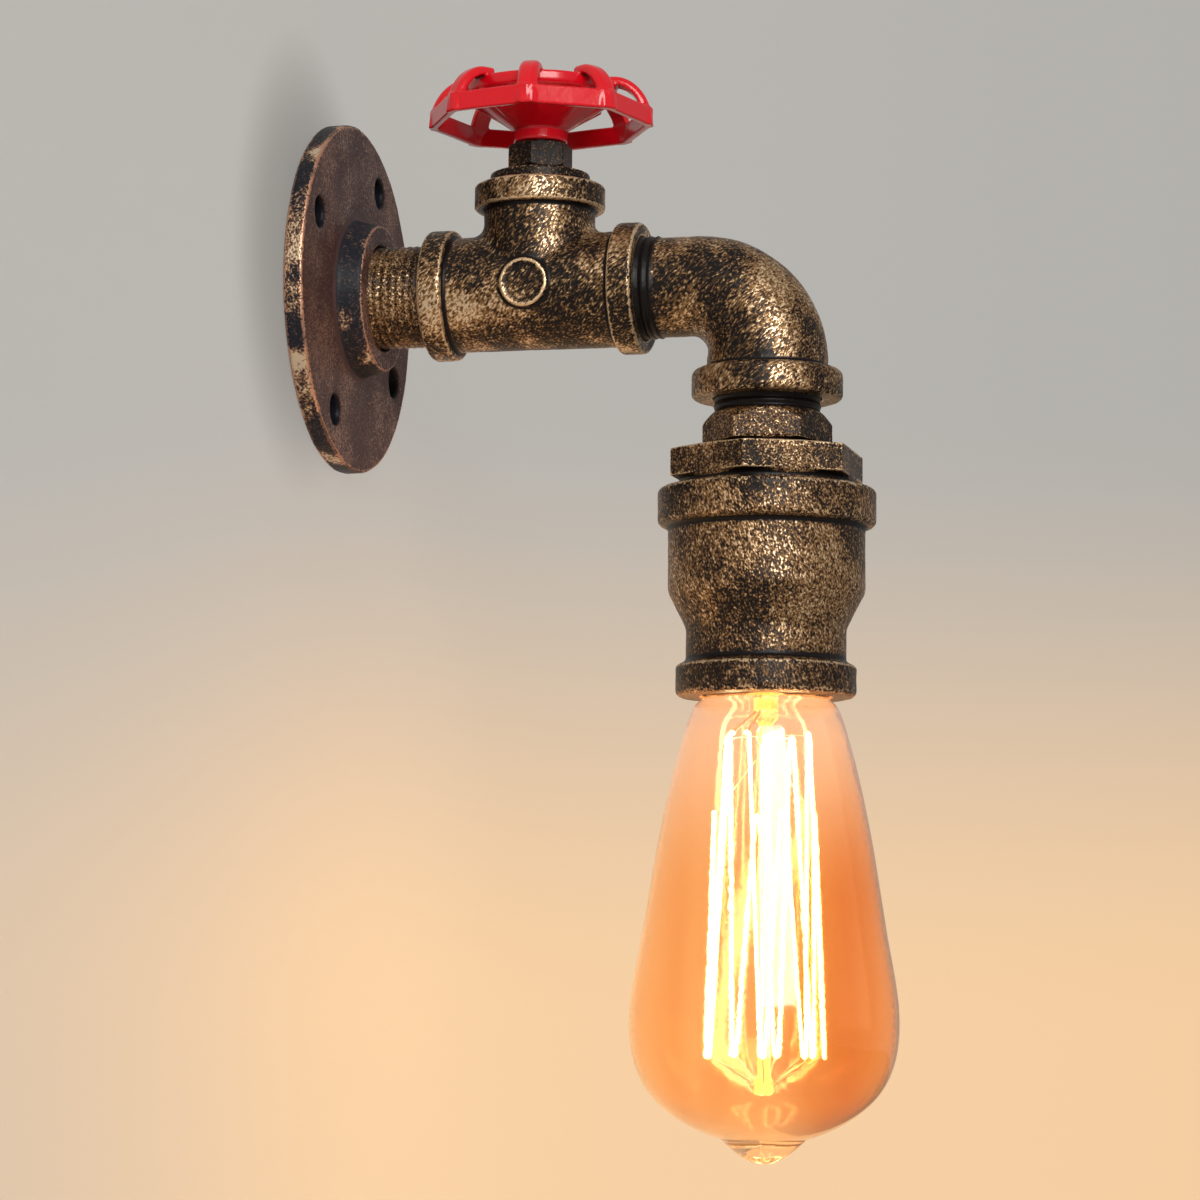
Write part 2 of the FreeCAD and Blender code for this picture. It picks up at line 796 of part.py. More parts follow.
def bend_solid(radius):
    """Quarter bend of constant radius on the elbow's centre line."""
    corner = head_axis - elbow_bend_radius
    ring = Part.Face(Part.Wire(Part.makeCircle(radius, Vector(0, -corner, 0), Vector(0, -1, 0))))
    return ring.revolve(Vector(0, -corner, -elbow_bend_radius), Vector(1, 0, 0), 90)


def swelling_bend():
    """Quarter bend of the elbow, which grows from the arm's radius to the leg's."""
    corner = head_axis - elbow_bend_radius
    rings = []
    for step in range(7):
        share = step / 6
        angle = math.radians(90 * share)
        along = corner + elbow_bend_radius * math.sin(angle)
        down = elbow_bend_radius * (1 - math.cos(angle))
        centre = Vector(0, -along, -down)
        heading = Vector(0, -math.cos(angle), -math.sin(angle))
        radius = elbow_arm_radius + (elbow_leg_radius - elbow_arm_radius) * share
        rings.append(Part.Wire(Part.makeCircle(radius, centre, heading)))
    return Part.makeLoft(rings, True, False)


def street_elbow():
    """Cast elbow with a threaded male end in the tee and a beaded socket facing down."""
    corner = head_axis - elbow_bend_radius
    start = tee_end - pipe_engagement
    points = [(0, start), (pipe_radius, start)]
    points += thread_rings(pipe_radius, pipe_thread_depth, pipe_pitch, tee_end, elbow_shoulder)
    points += [(elbow_arm_radius, elbow_shoulder), (elbow_arm_radius, corner), (0, corner)]
    arm = on_arm(turned(points))
    leg = disc(elbow_leg_radius, elbow_face, -elbow_bend_radius)
    bead_top = elbow_face + elbow_bead_height
    bead = turned([
        (elbow_leg_radius - 1, elbow_face), (elbow_bead_radius, elbow_face, 1.2),
        (elbow_bead_radius, bead_top, 1.8), (elbow_leg_radius - 1, bead_top),
    ])
    lower = at(leg.fuse(bead), head_axis)
    body = swelling_bend().fuse(arm).fuse(lower)
    bore_arm = on_arm(disc(elbow_bore_radius, start - 1, corner))
    bore_leg = at(disc(elbow_bore_radius, elbow_face - 1, -elbow_bend_radius), head_axis)
    socket = disc(nipple_thread_radius + turning_clearance, elbow_face - 1, elbow_face + elbow_socket_depth)
    return body.cut(bore_arm.fuse(bend_solid(elbow_bore_radius)).fuse(bore_leg)).cut(at(socket, head_axis))


def hex_nipple():
    """Nipple with a hexagon between two male threads."""
    top = elbow_face + hex_nipple_engagement
    bottom = bushing_top - hex_nipple_engagement
    upper_rings = thread_rings(nipple_thread_radius, pipe_thread_depth, pipe_pitch, hex_nipple_top, elbow_face)
    points = [(0, bottom), (nipple_thread_radius, bottom, 0.4)]
    points += [(nipple_thread_radius, hex_nipple_top)] + upper_rings
    points += [(nipple_thread_radius, top, 0.4), (0, top)]
    shank = turned(points)
    nut = hexagon(hex_nipple_corner_radius, hex_nipple_bottom, hex_nipple_top, hex_nipple_phase, hex_nipple_chamfer)
    return at(shank.fuse(nut).cut(disc(hex_nipple_bore, bottom - 1, top + 1)), head_axis)


def hex_bushing():
    """Hexagon bushing: male thread into the reducing socket, female thread for the nipple."""
    rings = thread_rings(bushing_thread_radius, pipe_thread_depth, pipe_pitch, reducer_top, bushing_hex_bottom)
    shank = turned([(0, bushing_bottom), (bushing_thread_radius, bushing_bottom, 0.4)] + rings
                   + [(bushing_thread_radius, bushing_hex_bottom), (0, bushing_hex_bottom)])
    nut = hexagon(bushing_corner_radius, bushing_hex_bottom, bushing_top, bushing_phase, bushing_chamfer)
    body = shank.fuse(nut)
    body = body.cut(disc(bushing_bore, bushing_bottom - 1, bushing_top + 1))
    thread = disc(nipple_thread_radius + turning_clearance, bushing_top - bushing_socket_depth, bushing_top + 1)
    return at(body.cut(thread), head_axis)


def reducing_socket():
    """Bell shaped reducing socket with a bead at each end and a chamber for the holder."""
    taper_top = reducer_top - reducer_taper_start
    taper_bottom = taper_top - reducer_taper_length
    bottom_bead_top = mouth + reducer_bottom_bead_height
    outer = turned([
        (0, reducer_top), (reducer_top_bead_radius, reducer_top, 1.4),
        (reducer_top_bead_radius, reducer_top - reducer_top_bead_height, 1.6),
        (reducer_body_radius, reducer_top - reducer_top_bead_height - 0.8, 0.6),
        (reducer_body_radius, taper_top, 5.0), (reducer_neck_radius, taper_bottom, 5.0),
        (reducer_neck_radius, bottom_bead_top + 1.2, 0.8), (reducer_bottom_bead_radius, bottom_bead_top, 1.0),
        (reducer_bottom_bead_radius, mouth, 1.4), (0, mouth),
    ])
    thread = disc(bushing_thread_radius + turning_clearance, disc_bottom, reducer_top + 1)
    chamber = turned([
        (0, disc_bottom + 1), (reducer_chamber_radius, disc_bottom + 1), (reducer_chamber_radius, taper_top),
        (reducer_neck_bore, taper_bottom), (reducer_neck_bore, mouth + reducer_mouth_depth),
        (reducer_mouth_radius, mouth + reducer_mouth_depth), (reducer_mouth_radius, mouth - 1), (0, mouth - 1),
    ])
    return at(outer.cut(thread).cut(chamber), head_axis)


def holder_plate():
    """Round plate clamped on the socket's shoulder by the bushing."""
    return at(tube(plate_disc_radius, tube_radius, disc_bottom, bushing_bottom), head_axis)


def hanger_tube():
    """Short threaded tube from the plate to the holder's strap."""
    return at(tube(tube_radius, tube_bore, strap_bottom - 0.3, bushing_bottom + tube_above_plate), head_axis)


def tube_nut(low):
    """Thin hexagon nut on the hanger tube."""
    nut = hexagon(tube_nut_corner_radius, low, low + tube_nut_height, 0, 0.5, 0.5)
    return at(nut.cut(disc(tube_radius, low - 1, low + tube_nut_height + 1)), head_axis)


def holder_strap():
    """Flat strap across the holder's posts, threaded on the hanger tube."""
    bar = Part.makeBox(strap_length, strap_width, strap_thickness,
                       Vector(-strap_length / 2, -strap_width / 2, strap_bottom))
    bar = bar.common(disc(strap_length / 2, strap_bottom - 1, strap_top + 1))
    bar = bar.cut(disc(tube_radius, strap_bottom - 1, strap_top + 1))
    for side in (-1, 1):
        hole = disc(strap_screw_radius, strap_bottom - 1, strap_top + 1)
        hole.translate(Vector(side * strap_screw_offset, 0, 0))
        bar = bar.cut(hole)
    return at(bar, head_axis)


def pan_screw(radius, head_radius, head_height, low, seat):
    """Screw with a slotted pan head whose seat is at a height."""
    body = turned([
        (0, low), (radius, low, 0.3), (radius, seat), (head_radius, seat),
        (head_radius, seat + head_height, head_height * 0.6), (0, seat + head_height),
    ])
    slot = Part.makeBox(2 * head_radius + 1, head_radius * 0.3, head_height * 0.45,
                        Vector(-head_radius - 0.5, -head_radius * 0.15, seat + head_height * 0.56))
    return body.cut(slot)


def strap_screws():
    """Two screws that hold the strap on the holder's posts."""
    solids = []
    for side in (-1, 1):
        low = strap_bottom - holder_post_height + 0.4
        screw = pan_screw(strap_screw_radius, strap_screw_head_radius, strap_screw_head_height, low, strap_top)
        screw.translate(Vector(side * strap_screw_offset, -head_axis, 0))
        solids.append(screw)
    return Part.makeCompound(solids)


def lampholder_body():
    """Moulded holder: base with two posts, shoulder and a long skirt round the screw shell."""
    shoulder = holder_top - holder_shoulder_depth
    body = turned([
        (0, holder_top), (holder_radius, holder_top, 1.0), (holder_radius, shoulder, 0.6),
        (holder_skirt_radius, shoulder - 1.2, 0.6), (holder_skirt_radius, holder_bottom, 0.5),
        (holder_bore, holder_bottom, 0.4), (holder_bore, base_bottom), (0, base_bottom),
    ])
    for side in (-1, 1):
        place = Vector(side * strap_screw_offset, 0, 0)
        post = disc(holder_post_radius, holder_top - 1, strap_bottom)
        post.translate(place)
        hole = disc(strap_screw_radius, strap_bottom - holder_post_height + 0.2, strap_bottom + 1)
        hole.translate(place)
        body = body.fuse(post).cut(hole)
    for reach in (-contact_rivet_offset, shell_rivet_offset):
        hole = disc(rivet_radius, base_bottom - 1, holder_top + 1)
        hole.translate(Vector(0, reach, 0))
        body = body.cut(hole)
    return at(body, head_axis)


def terminals():
    """Two brass terminal blocks on the holder's base; the live one has a foot to the contact."""
    solids = []
    inner = terminal_offset - terminal_length / 2
    top = holder_top + terminal_height
    for side in (-1, 1):
        block = Part.makeBox(terminal_width, terminal_length, terminal_height,
                             Vector(-terminal_width / 2, inner, holder_top))
        hole = disc(terminal_screw_radius, holder_top + 0.6, top + 1)
        hole.translate(Vector(0, terminal_offset, 0))
        block = block.cut(hole)
        if side < 0:
            foot_start = contact_rivet_offset - 2 * rivet_radius
            foot = Part.makeBox(terminal_width - 1, inner - foot_start + 0.5, terminal_foot,
                                Vector(-(terminal_width - 1) / 2, foot_start, holder_top))
            hole = disc(rivet_radius, holder_top - 1, holder_top + 2)
            hole.translate(Vector(0, contact_rivet_offset, 0))
            block = block.fuse(foot).cut(hole)
            block.rotate(Vector(0, 0, 0), Vector(0, 0, 1), 180)
        solids.append(block)
    return at(Part.makeCompound(solids), head_axis)


def terminal_screws():
    """Two clamping screws in the terminal blocks."""
    solids = []
    for side in (-1, 1):
        screw = pan_screw(terminal_screw_radius, terminal_head_radius, terminal_head_height,
                          holder_top + 0.8, holder_top + terminal_height)
        screw.translate(Vector(0, side * terminal_offset, 0))
        solids.append(screw)
    return at(Part.makeCompound(solids), head_axis)


def centre_contact():
    """Sprung brass leaf under the base that meets the tip of the bulb."""
    low = base_bottom
    down = low - contact_drop
    t = contact_thickness
    profile = [
        Vector(0, -contact_rivet_offset - 1.6, low), Vector(0, -2.6, low), Vector(0, -1.0, down + t),
        Vector(0, 2.6, down + t), Vector(0, 3.6, low - t), Vector(0, 4.0, low - t - 0.3),
        Vector(0, 2.9, down), Vector(0, -1.2, down), Vector(0, -2.8, low - t),
        Vector(0, -contact_rivet_offset - 1.6, low - t),
    ]
    leaf = Part.Face(Part.makePolygon(profile + [profile[0]])).extrude(Vector(contact_width, 0, 0))
    leaf.translate(Vector(-contact_width / 2, 0, 0))
    hole = disc(rivet_radius, low - 2, low + 1)
    hole.translate(Vector(0, -contact_rivet_offset, 0))
    return at(leaf.cut(hole), head_axis)


def holder_rivets():
    """Rivets that fix the contact leaf and the screw shell through the base."""
    solids = []
    places = (
        (-contact_rivet_offset, base_bottom - contact_thickness, holder_top + terminal_foot),
        (shell_rivet_offset, base_bottom - shell_wall, holder_top),
    )
    for reach, low, high in places:
        rivet = disc(rivet_radius, low, high).fuse(disc(rivet_head_radius, low - rivet_head_height, low))
        rivet.translate(Vector(0, reach, 0))
        solids.append(rivet)
    return at(Part.makeCompound(solids), head_axis)


def screw_form(radius, swing, low, high, low_radius, high_radius):
    """Solid with a rolled screw thread: level circles whose centres follow a helix.

    The thread runs out at both ends into plain circles of the given radii.
    """
    steps = int(math.ceil((high - low) / (screw_pitch / 8)))
    run_out = screw_pitch / 2
    rings = []
    for step in range(steps + 1):
        height = low + (high - low) * step / steps
        blend = min(1.0, (height - low) / run_out, (high - height) / run_out)
        end_radius = low_radius if height - low < high - height else high_radius
        ring_radius = end_radius + (radius - end_radius) * blend
        centre = polar(swing * blend, 360 * height / screw_pitch, height)
        rings.append(Part.Wire(Part.makeCircle(ring_radius, centre, Vector(0, 0, 1))))
    return Part.makeLoft(rings, True, False)


def flat_ring(outer, inner, height):
    """Level ring shaped face."""
    rim = Part.Wire(Part.makeCircle(outer, Vector(0, 0, height)))
    hole = Part.Wire(Part.makeCircle(inner, Vector(0, 0, height)))
    return Part.Face([rim, hole])


def rolled_wall(outer, inner, ends):
    """Thin threaded wall between two screw forms, closed by the faces of its two ends."""
    faces = [face for face in outer.Faces if not isinstance(face.Surface, Part.Plane)]
    faces += [face.reversed() for face in inner.Faces if not isinstance(face.Surface, Part.Plane)]
    shell = Part.makeShell(faces + ends)
    shell.sewShape()
    solid = Part.Solid(shell)
    solid.fix(0.001, 0.001, 0.01)
    return solid


def faces_but(shape, height):
    """Faces of a shape other than the level one at a height."""
    kept = []
    for face in shape.Faces:
        if not isinstance(face.Surface, Part.Plane) or abs(face.CenterOfMass.z - height) > 1e-6:
            kept.append(face)
    return kept


def screw_shell():
    """Threaded brass shell of the lampholder."""
    swing = (cap_crest_radius - cap_root_radius) / 2
    mean = cap_root_radius + swing + screw_clearance
    plain = mean + swing
    top = base_bottom
    thread_top = top - shell_wall - shell_plain
    bottom = top - shell_length
    inner = screw_form(mean, swing, bottom, thread_top, plain, plain)
    outer = screw_form(mean + shell_wall, swing, bottom, thread_top, plain + shell_wall, plain + shell_wall)
    collar = tube(plain + shell_wall, plain, thread_top, top)
    collar = collar.fuse(tube(plain + shell_wall, shell_hole_radius, top - shell_wall, top)).removeSplitter()
    ends = faces_but(collar, thread_top) + [flat_ring(plain + shell_wall, plain, bottom)]
    hole = disc(rivet_radius, top - 2, top + 1)
    hole.translate(Vector(0, shell_rivet_offset, 0))
    return at(rolled_wall(outer, inner, ends).cut(hole), head_axis)


def bulb_tip():
    """Round end contact of the bulb."""
    tip = turned([
        (0, insulator_top), (tip_radius, insulator_top), (tip_radius, insulator_top + tip_height * 0.4, 0.3),
        (tip_radius * 0.55, tip_top, 0.5), (0, tip_top),
    ])
    return at(tip, head_axis)


def cap_insulator():
    """Black glass insulator between the tip and the threaded cap."""
    top = insulator_top - tip_seat_gap
    body = turned([
        (0, cap_top), (insulator_base_radius, cap_top), (insulator_base_radius, cap_top + 0.5, 0.3),
        (tip_radius + 0.6, top, 0.5), (0, top),
    ])
    return at(body, head_axis)


def bulb_cap():
    """Rolled brass screw cap of the bulb."""
    swing = (cap_crest_radius - cap_root_radius) / 2
    mean = cap_root_radius + swing
    thread_bottom = cap_bottom + cap_plain_skirt
    skirt_radius = cap_crest_radius
    thread_top = cap_top - 2 * cap_wall
    outer = screw_form(mean, swing, thread_bottom, thread_top, skirt_radius, cap_root_radius)
    inner = screw_form(mean - cap_wall, swing, thread_bottom, thread_top,
                       skirt_radius - cap_wall, cap_root_radius - cap_wall)
    skirt = tube(skirt_radius, skirt_radius - cap_wall, cap_bottom, thread_bottom)
    top = tube(cap_root_radius, cap_root_radius - cap_wall, thread_top, cap_top)
    top = top.fuse(tube(cap_root_radius, cap_top_hole_radius, cap_top - cap_wall, cap_top)).removeSplitter()
    ends = faces_but(skirt, thread_bottom) + faces_but(top, thread_top)
    return at(rolled_wall(outer, inner, ends), head_axis)


def cap_cement():
    """Ring of cement between the cap's skirt and the glass neck."""
    ring = tube(cap_crest_radius - cap_wall, glass_neck_radius, neck_top - glass_neck_straight, neck_top)
    return at(ring, head_axis)


def spline_edge(points):
    """Smooth edge through points given as (radius, height)."""
    curve = Part.BSplineCurve()
    curve.interpolate([Vector(x, y, 0) for x, y in points])
    return curve


def inset_points(curve, count, wall):
    """Points a wall's thickness inside a profile curve."""
    points = []
    for index in range(count):
        parameter = curve.FirstParameter + (curve.LastParameter - curve.FirstParameter) * index / (count - 1)
        place = curve.value(parameter)
        heading = curve.tangent(parameter)[0]
        inward = Vector(heading.y, -heading.x, 0)
        if inward.x > 0:
            inward = inward.multiply(-1)
        points.append((place.x + inward.x * wall, place.y + inward.y * wall))
    return points


def glass_envelope():
    """Pear shaped glass with its neck and the sealed pip at the bottom."""
    neck_bottom = neck_top - glass_neck_straight
    side = [(glass_neck_radius, neck_bottom)]
    side += [(radius, mouth - share * glass_pip_depth) for radius, share in glass_profile]
    pip = [side[-1]] + [(radius, mouth - share * glass_pip_depth) for radius, share in glass_pip_profile]
    pip.append((0, mouth - glass_pip_depth))
    outer = spline_edge(side)
    pip_curve = spline_edge(pip)
    inner_points = inset_points(outer, 15, glass_wall)
    inner_neck = glass_neck_radius - glass_wall
    inner_points[0] = (inner_neck, neck_bottom)
    inner = spline_edge(inner_points)
    last = inner_points[-1]
    floor = Vector(0, mouth - glass_pip_depth + glass_pip_hollow, 0)
    edges = [
        Part.LineSegment(Vector(glass_neck_radius, neck_top, 0), Vector(*side[0], 0)).toShape(),
        outer.toShape(),
        pip_curve.toShape(),
        Part.LineSegment(Vector(0, mouth - glass_pip_depth, 0), floor).toShape(),
        Part.LineSegment(floor, Vector(last[0], last[1], 0)).toShape(),
        inner.toShape(),
        Part.LineSegment(Vector(inner_neck, neck_bottom, 0), Vector(inner_neck, neck_top, 0)).toShape(),
        Part.LineSegment(Vector(inner_neck, neck_top, 0), Vector(glass_neck_radius, neck_top, 0)).toShape(),
    ]
    face = Part.Face(Part.Wire(Part.__sortEdges__(edges)))
    face.rotate(Vector(0, 0, 0), Vector(1, 0, 0), 90)
    return at(face.revolve(Vector(0, 0, 0), Vector(0, 0, 1), 360), head_axis)


def glass_mount():
    """Glass flare sealed in the neck, with the rod that carries the filament's supports."""
    rim = glass_neck_radius - glass_wall
    waist = neck_top - flare_length
    bottom = mouth - rod_bottom
    collar = mouth - rod_collar_depth
    mount = turned([
        (rim, neck_top), (rim - flare_wall, neck_top), (rim - flare_wall, neck_top - 1.2, 1.0),
        (flare_waist_radius - flare_wall, waist + 3, 1.5), (flare_waist_radius - flare_wall, waist - 3),
        (0, waist - 4), (0, bottom), (rod_button_radius, bottom, 0.8),
        (rod_button_radius, bottom + 3, 0.8), (rod_radius, bottom + 4), (rod_radius, collar - 2),
        (rod_button_radius, collar - 1, 0.5), (rod_button_radius, collar + 1, 0.5), (rod_radius, collar + 2),
        (rod_radius, waist - pinch_length), (flare_waist_radius, waist - pinch_length + pinch_round, 1.0),
        (flare_waist_radius, waist + 2, 1.5),
        (rim, neck_top - 2, 1.0),
    ])
    return at(mount, head_axis)


def cage_points():
    """Corners of the filament's zigzag, from its first top loop to its last."""
    points = []
    for index in range(cage_strands + 1):
        angle = cage_phase + 360 / cage_positions * index
        if index % 2 == 0:
            points.append(polar(cage_top_radius, angle, mouth - cage_top))
        else:
            points.append(polar(cage_bottom_radius, angle, mouth - cage_bottom))
    return points


def filament():
    """Long carbon filament strung up and down as a cage of near upright strands."""
    points = cage_points()
    first = Part.makeSphere(filament_bend_radius, points[0])
    rest = []
    for start, end in zip(points[:-1], points[1:]):
        rest.append(straight_bar(start, end, filament_radius))
        rest.append(Part.makeSphere(filament_bend_radius, end))
    return at(first.multiFuse(rest), head_axis)


def short_bar(start, end, radius, stop):
    """Round bar that ends a given distance before its end point."""
    heading = end.sub(start)
    length = heading.Length - stop
    return Part.makeCylinder(radius, length, start, heading)


def filament_supports():
    """Fine wires from the rod's collar and button out to the filament's loops."""
    solids = []
    stop = filament_bend_radius + hook_gap
    for index, point in enumerate(cage_points()):
        if index in (0, cage_strands):
            continue
        angle = cage_phase + 360 / cage_positions * index
        depth = rod_collar_depth if index % 2 == 0 else rod_bottom - support_rise
        drop = abs(point.z - mouth + depth)
        lean = drop / math.hypot(math.hypot(point.x, point.y) - rod_button_radius, drop)
        start = polar(rod_button_radius + hook_gap + hook_radius * lean, angle, mouth - depth)
        solids.append(short_bar(start, point, hook_radius, stop))
    return at(Part.makeCompound(solids), head_axis)


def inner_leads():
    """Two stiff wires from the flare's pinch to the filament's two ends."""
    points = cage_points()
    start_height = neck_top - flare_length - pinch_length / 2
    solids = []
    for point in (points[0], points[-1]):
        heading = math.degrees(math.atan2(point.y, point.x))
        start = polar(flare_waist_radius + hook_gap + inner_lead_radius, heading, start_height)
        solids.append(short_bar(start, point, inner_lead_radius, filament_bend_radius + hook_gap))
    return at(Part.makeCompound(solids), head_axis)


def fixture_flex():
    """Sheathed cable in the tee, up to the plane where the elbow can turn."""
    start = Vector(0, -(tee_axis + sheath_end_beyond_axis), 0)
    end = Vector(0, -(flex_split - flex_joint_gap / 2), 0)
    return straight_bar(start, end, flex_radius)


def drop_flex():
    """Sheathed cable round the elbow and down into the hanger tube."""
    start = flex_split + flex_joint_gap / 2
    end_height = strap_bottom - 0.3 + sheath_end_in_tube
    route = [(0, -start, 0), (0, -head_axis, 0, flex_bend_radius), (0, -head_axis, end_height)]
    return swept(route, flex_radius)


def live_lead():
    """Live core from the wall up into the switch's first pin."""
    height = live_core_height
    reach = tee_axis - switch_pin_offset
    top = switch_bottom - 0.4
    route = [(0, -lead_wall_gap, height), (0, -reach, height, core_bend_radius), (0, -reach, top)]
    return swept(route, core_radius)


def switched_lead():
    """Core from the switch's second pin down into the sheathed cable."""
    reach = tee_axis + switch_pin_offset
    top = switch_bottom - 0.4
    sheath = tee_axis + sheath_end_beyond_axis
    route = [(0, -reach, top), (0, -reach, core_spacing, core_bend_radius), (0, -sheath, core_spacing)]
    return swept(route, core_radius)


def neutral_lead():
    """Neutral core from the wall straight into the sheathed cable."""
    sheath = tee_axis + sheath_end_beyond_axis
    start = Vector(0, -lead_wall_gap, -core_spacing)
    return straight_bar(start, Vector(0, -sheath, -core_spacing), core_radius)


def holder_cores():
    """Two cores from the end of the sheath out to the holder's terminals."""
    solids = []
    sheath_end = strap_bottom - 0.3 + sheath_end_in_tube
    height = holder_top + holder_core_rise
    reach = terminal_offset - terminal_length / 2
    for side in (-1, 1):
        near = -head_axis + side * holder_core_spacing
        far = -head_axis + side * reach
        path = [(0, near, sheath_end), (0, near, height, holder_core_bend), (0, far, height)]
        solids.append(swept(path, holder_core_radius))
    return Part.makeCompound(solids)


def build():
    """Write every piece to its own file."""
    os.makedirs("parts", exist_ok=True)
    makers = {
        "wall_flange": wall_flange,
        "arm_nipple": arm_nipple,
        "tee_body": tee_body,
        "earth_screw": earth_screw,
        "earth_tag": earth_tag,
        "earth_lead": earth_lead,
        "branch_plug": branch_plug,
        "gland_nut": gland_nut,
        "switch_housing": switch_housing,
        "switch_cover": switch_cover,
        "switch_pins": switch_pins,
        "switch_rotor": switch_rotor,
        "wheel_shaft": wheel_shaft,
        "handwheel": handwheel,
        "wheel_washer": wheel_washer,
        "wheel_nut": wheel_nut,
        "street_elbow": street_elbow,
        "hex_nipple": hex_nipple,
        "hex_bushing": hex_bushing,
        "reducing_socket": reducing_socket,
        "holder_plate": holder_plate,
        "hanger_tube": hanger_tube,
        "upper_tube_nut": lambda: tube_nut(bushing_bottom),
        "lower_tube_nut": lambda: tube_nut(disc_bottom - tube_nut_height),
        "holder_strap": holder_strap,
        "strap_screws": strap_screws,
        "lampholder_body": lampholder_body,
        "terminals": terminals,
        "terminal_screws": terminal_screws,
        "centre_contact": centre_contact,
        "holder_rivets": holder_rivets,
        "screw_shell": screw_shell,
        "bulb_tip": bulb_tip,
        "cap_insulator": cap_insulator,
        "bulb_cap": bulb_cap,
        "cap_cement": cap_cement,
        "glass_envelope": glass_envelope,
        "glass_mount": glass_mount,
        "filament": filament,
        "filament_supports": filament_supports,
        "inner_leads": inner_leads,
        "fixture_flex": fixture_flex,
        "drop_flex": drop_flex,
        "live_lead": live_lead,
        "switched_lead": switched_lead,
        "neutral_lead": neutral_lead,
        "holder_cores": holder_cores,
    }
    for name, maker in makers.items():
        shape = maker()
        box = shape.BoundBox
        print("%-18s solids %d valid %s volume %.1f  x %.2f %.2f  y %.2f %.2f  z %.2f %.2f" % (
            name, len(shape.Solids), shape.isValid(), shape.Volume,
            box.XMin, box.XMax, box.YMin, box.YMax, box.ZMin, box.ZMax))
        shape.exportStep("parts/%s.step" % name)


build()
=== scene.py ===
"""Looks of a pipe wall light: dry brushed castings, a glossy red handwheel and a lit filament bulb.

Everything is in metres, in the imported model's frame: the wall is the plane y = 0, the arm runs
out along -Y and the bulb hangs along -Z.
"""

import json
import logging
import math
from collections.abc import Callable
from dataclasses import dataclass, fields
from enum import Enum
from functools import reduce

import bmesh
import bpy
import numpy as np
from mathutils import Matrix, Vector


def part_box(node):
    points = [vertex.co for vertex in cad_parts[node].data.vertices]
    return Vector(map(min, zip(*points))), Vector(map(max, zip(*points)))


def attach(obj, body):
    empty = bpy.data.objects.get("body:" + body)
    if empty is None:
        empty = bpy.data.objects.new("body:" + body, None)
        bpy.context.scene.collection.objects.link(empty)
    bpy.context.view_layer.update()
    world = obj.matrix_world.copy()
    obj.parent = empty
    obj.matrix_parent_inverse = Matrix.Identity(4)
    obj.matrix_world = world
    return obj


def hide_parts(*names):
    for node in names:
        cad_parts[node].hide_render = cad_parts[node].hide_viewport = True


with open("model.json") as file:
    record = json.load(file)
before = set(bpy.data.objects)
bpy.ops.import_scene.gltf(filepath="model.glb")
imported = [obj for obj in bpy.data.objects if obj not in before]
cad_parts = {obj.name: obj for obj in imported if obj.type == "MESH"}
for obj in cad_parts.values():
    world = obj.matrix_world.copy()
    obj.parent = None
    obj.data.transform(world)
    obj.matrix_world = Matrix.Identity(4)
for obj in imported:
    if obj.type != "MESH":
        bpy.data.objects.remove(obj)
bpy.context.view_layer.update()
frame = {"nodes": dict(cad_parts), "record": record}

log = logging.getLogger("pipe_wall_light")
Socket = bpy.types.NodeSocket

MM = 0.001
WELD_DISTANCE = 0.002 * MM

HEAD_AXIS_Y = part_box("holder_plate")[0].y * 0.5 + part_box("holder_plate")[1].y * 0.5
MOUTH_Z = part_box("reducing_socket")[0].z


def operator(operation: str) -> Callable:
    """Make a method of Value that adds one Math node.

    Args:
        operation: the node's operation.

    Returns:
        The method.
    """
    def method(self: "Value", *others: object) -> "Value":
        """Result of the operation on this value and the others, which may be numbers."""
        return self.graph.math(operation, self, *others)

    return method


class Value:
    """A node socket that carries a number, with Python's operators for node maths."""

    __add__ = __radd__ = operator("ADD")
    __sub__ = operator("SUBTRACT")
    __mul__ = __rmul__ = operator("MULTIPLY")
    __truediv__ = operator("DIVIDE")
    __pow__ = operator("POWER")
    __mod__ = operator("MODULO")
    __abs__ = operator("ABSOLUTE")
    floor = operator("FLOOR")
    sine = operator("SINE")
    cosine = operator("COSINE")
    maximum = operator("MAXIMUM")
    minimum = operator("MINIMUM")

    def __init__(self, graph: "NodeMaker", socket: Socket) -> None:
        """Wrap an output socket of a node tree."""
        self.graph = graph
        self.socket = socket

    def __rsub__(self, other: object) -> "Value":
        """Difference the other way round."""
        return self.graph.math("SUBTRACT", other, self)

    def step(self, low: float, high: float) -> "Value":
        """Smooth step from nought at low to one at high.

        Args:
            low: where the step starts.
            high: where it ends; it may be the smaller one.

        Returns:
            The stepped value.
        """
        inputs = {"Value": self, "From Min": low, "From Max": high}
        node = self.graph.node("ShaderNodeMapRange", inputs, interpolation_type="SMOOTHSTEP")
        return Value(self.graph, node.outputs["Result"])


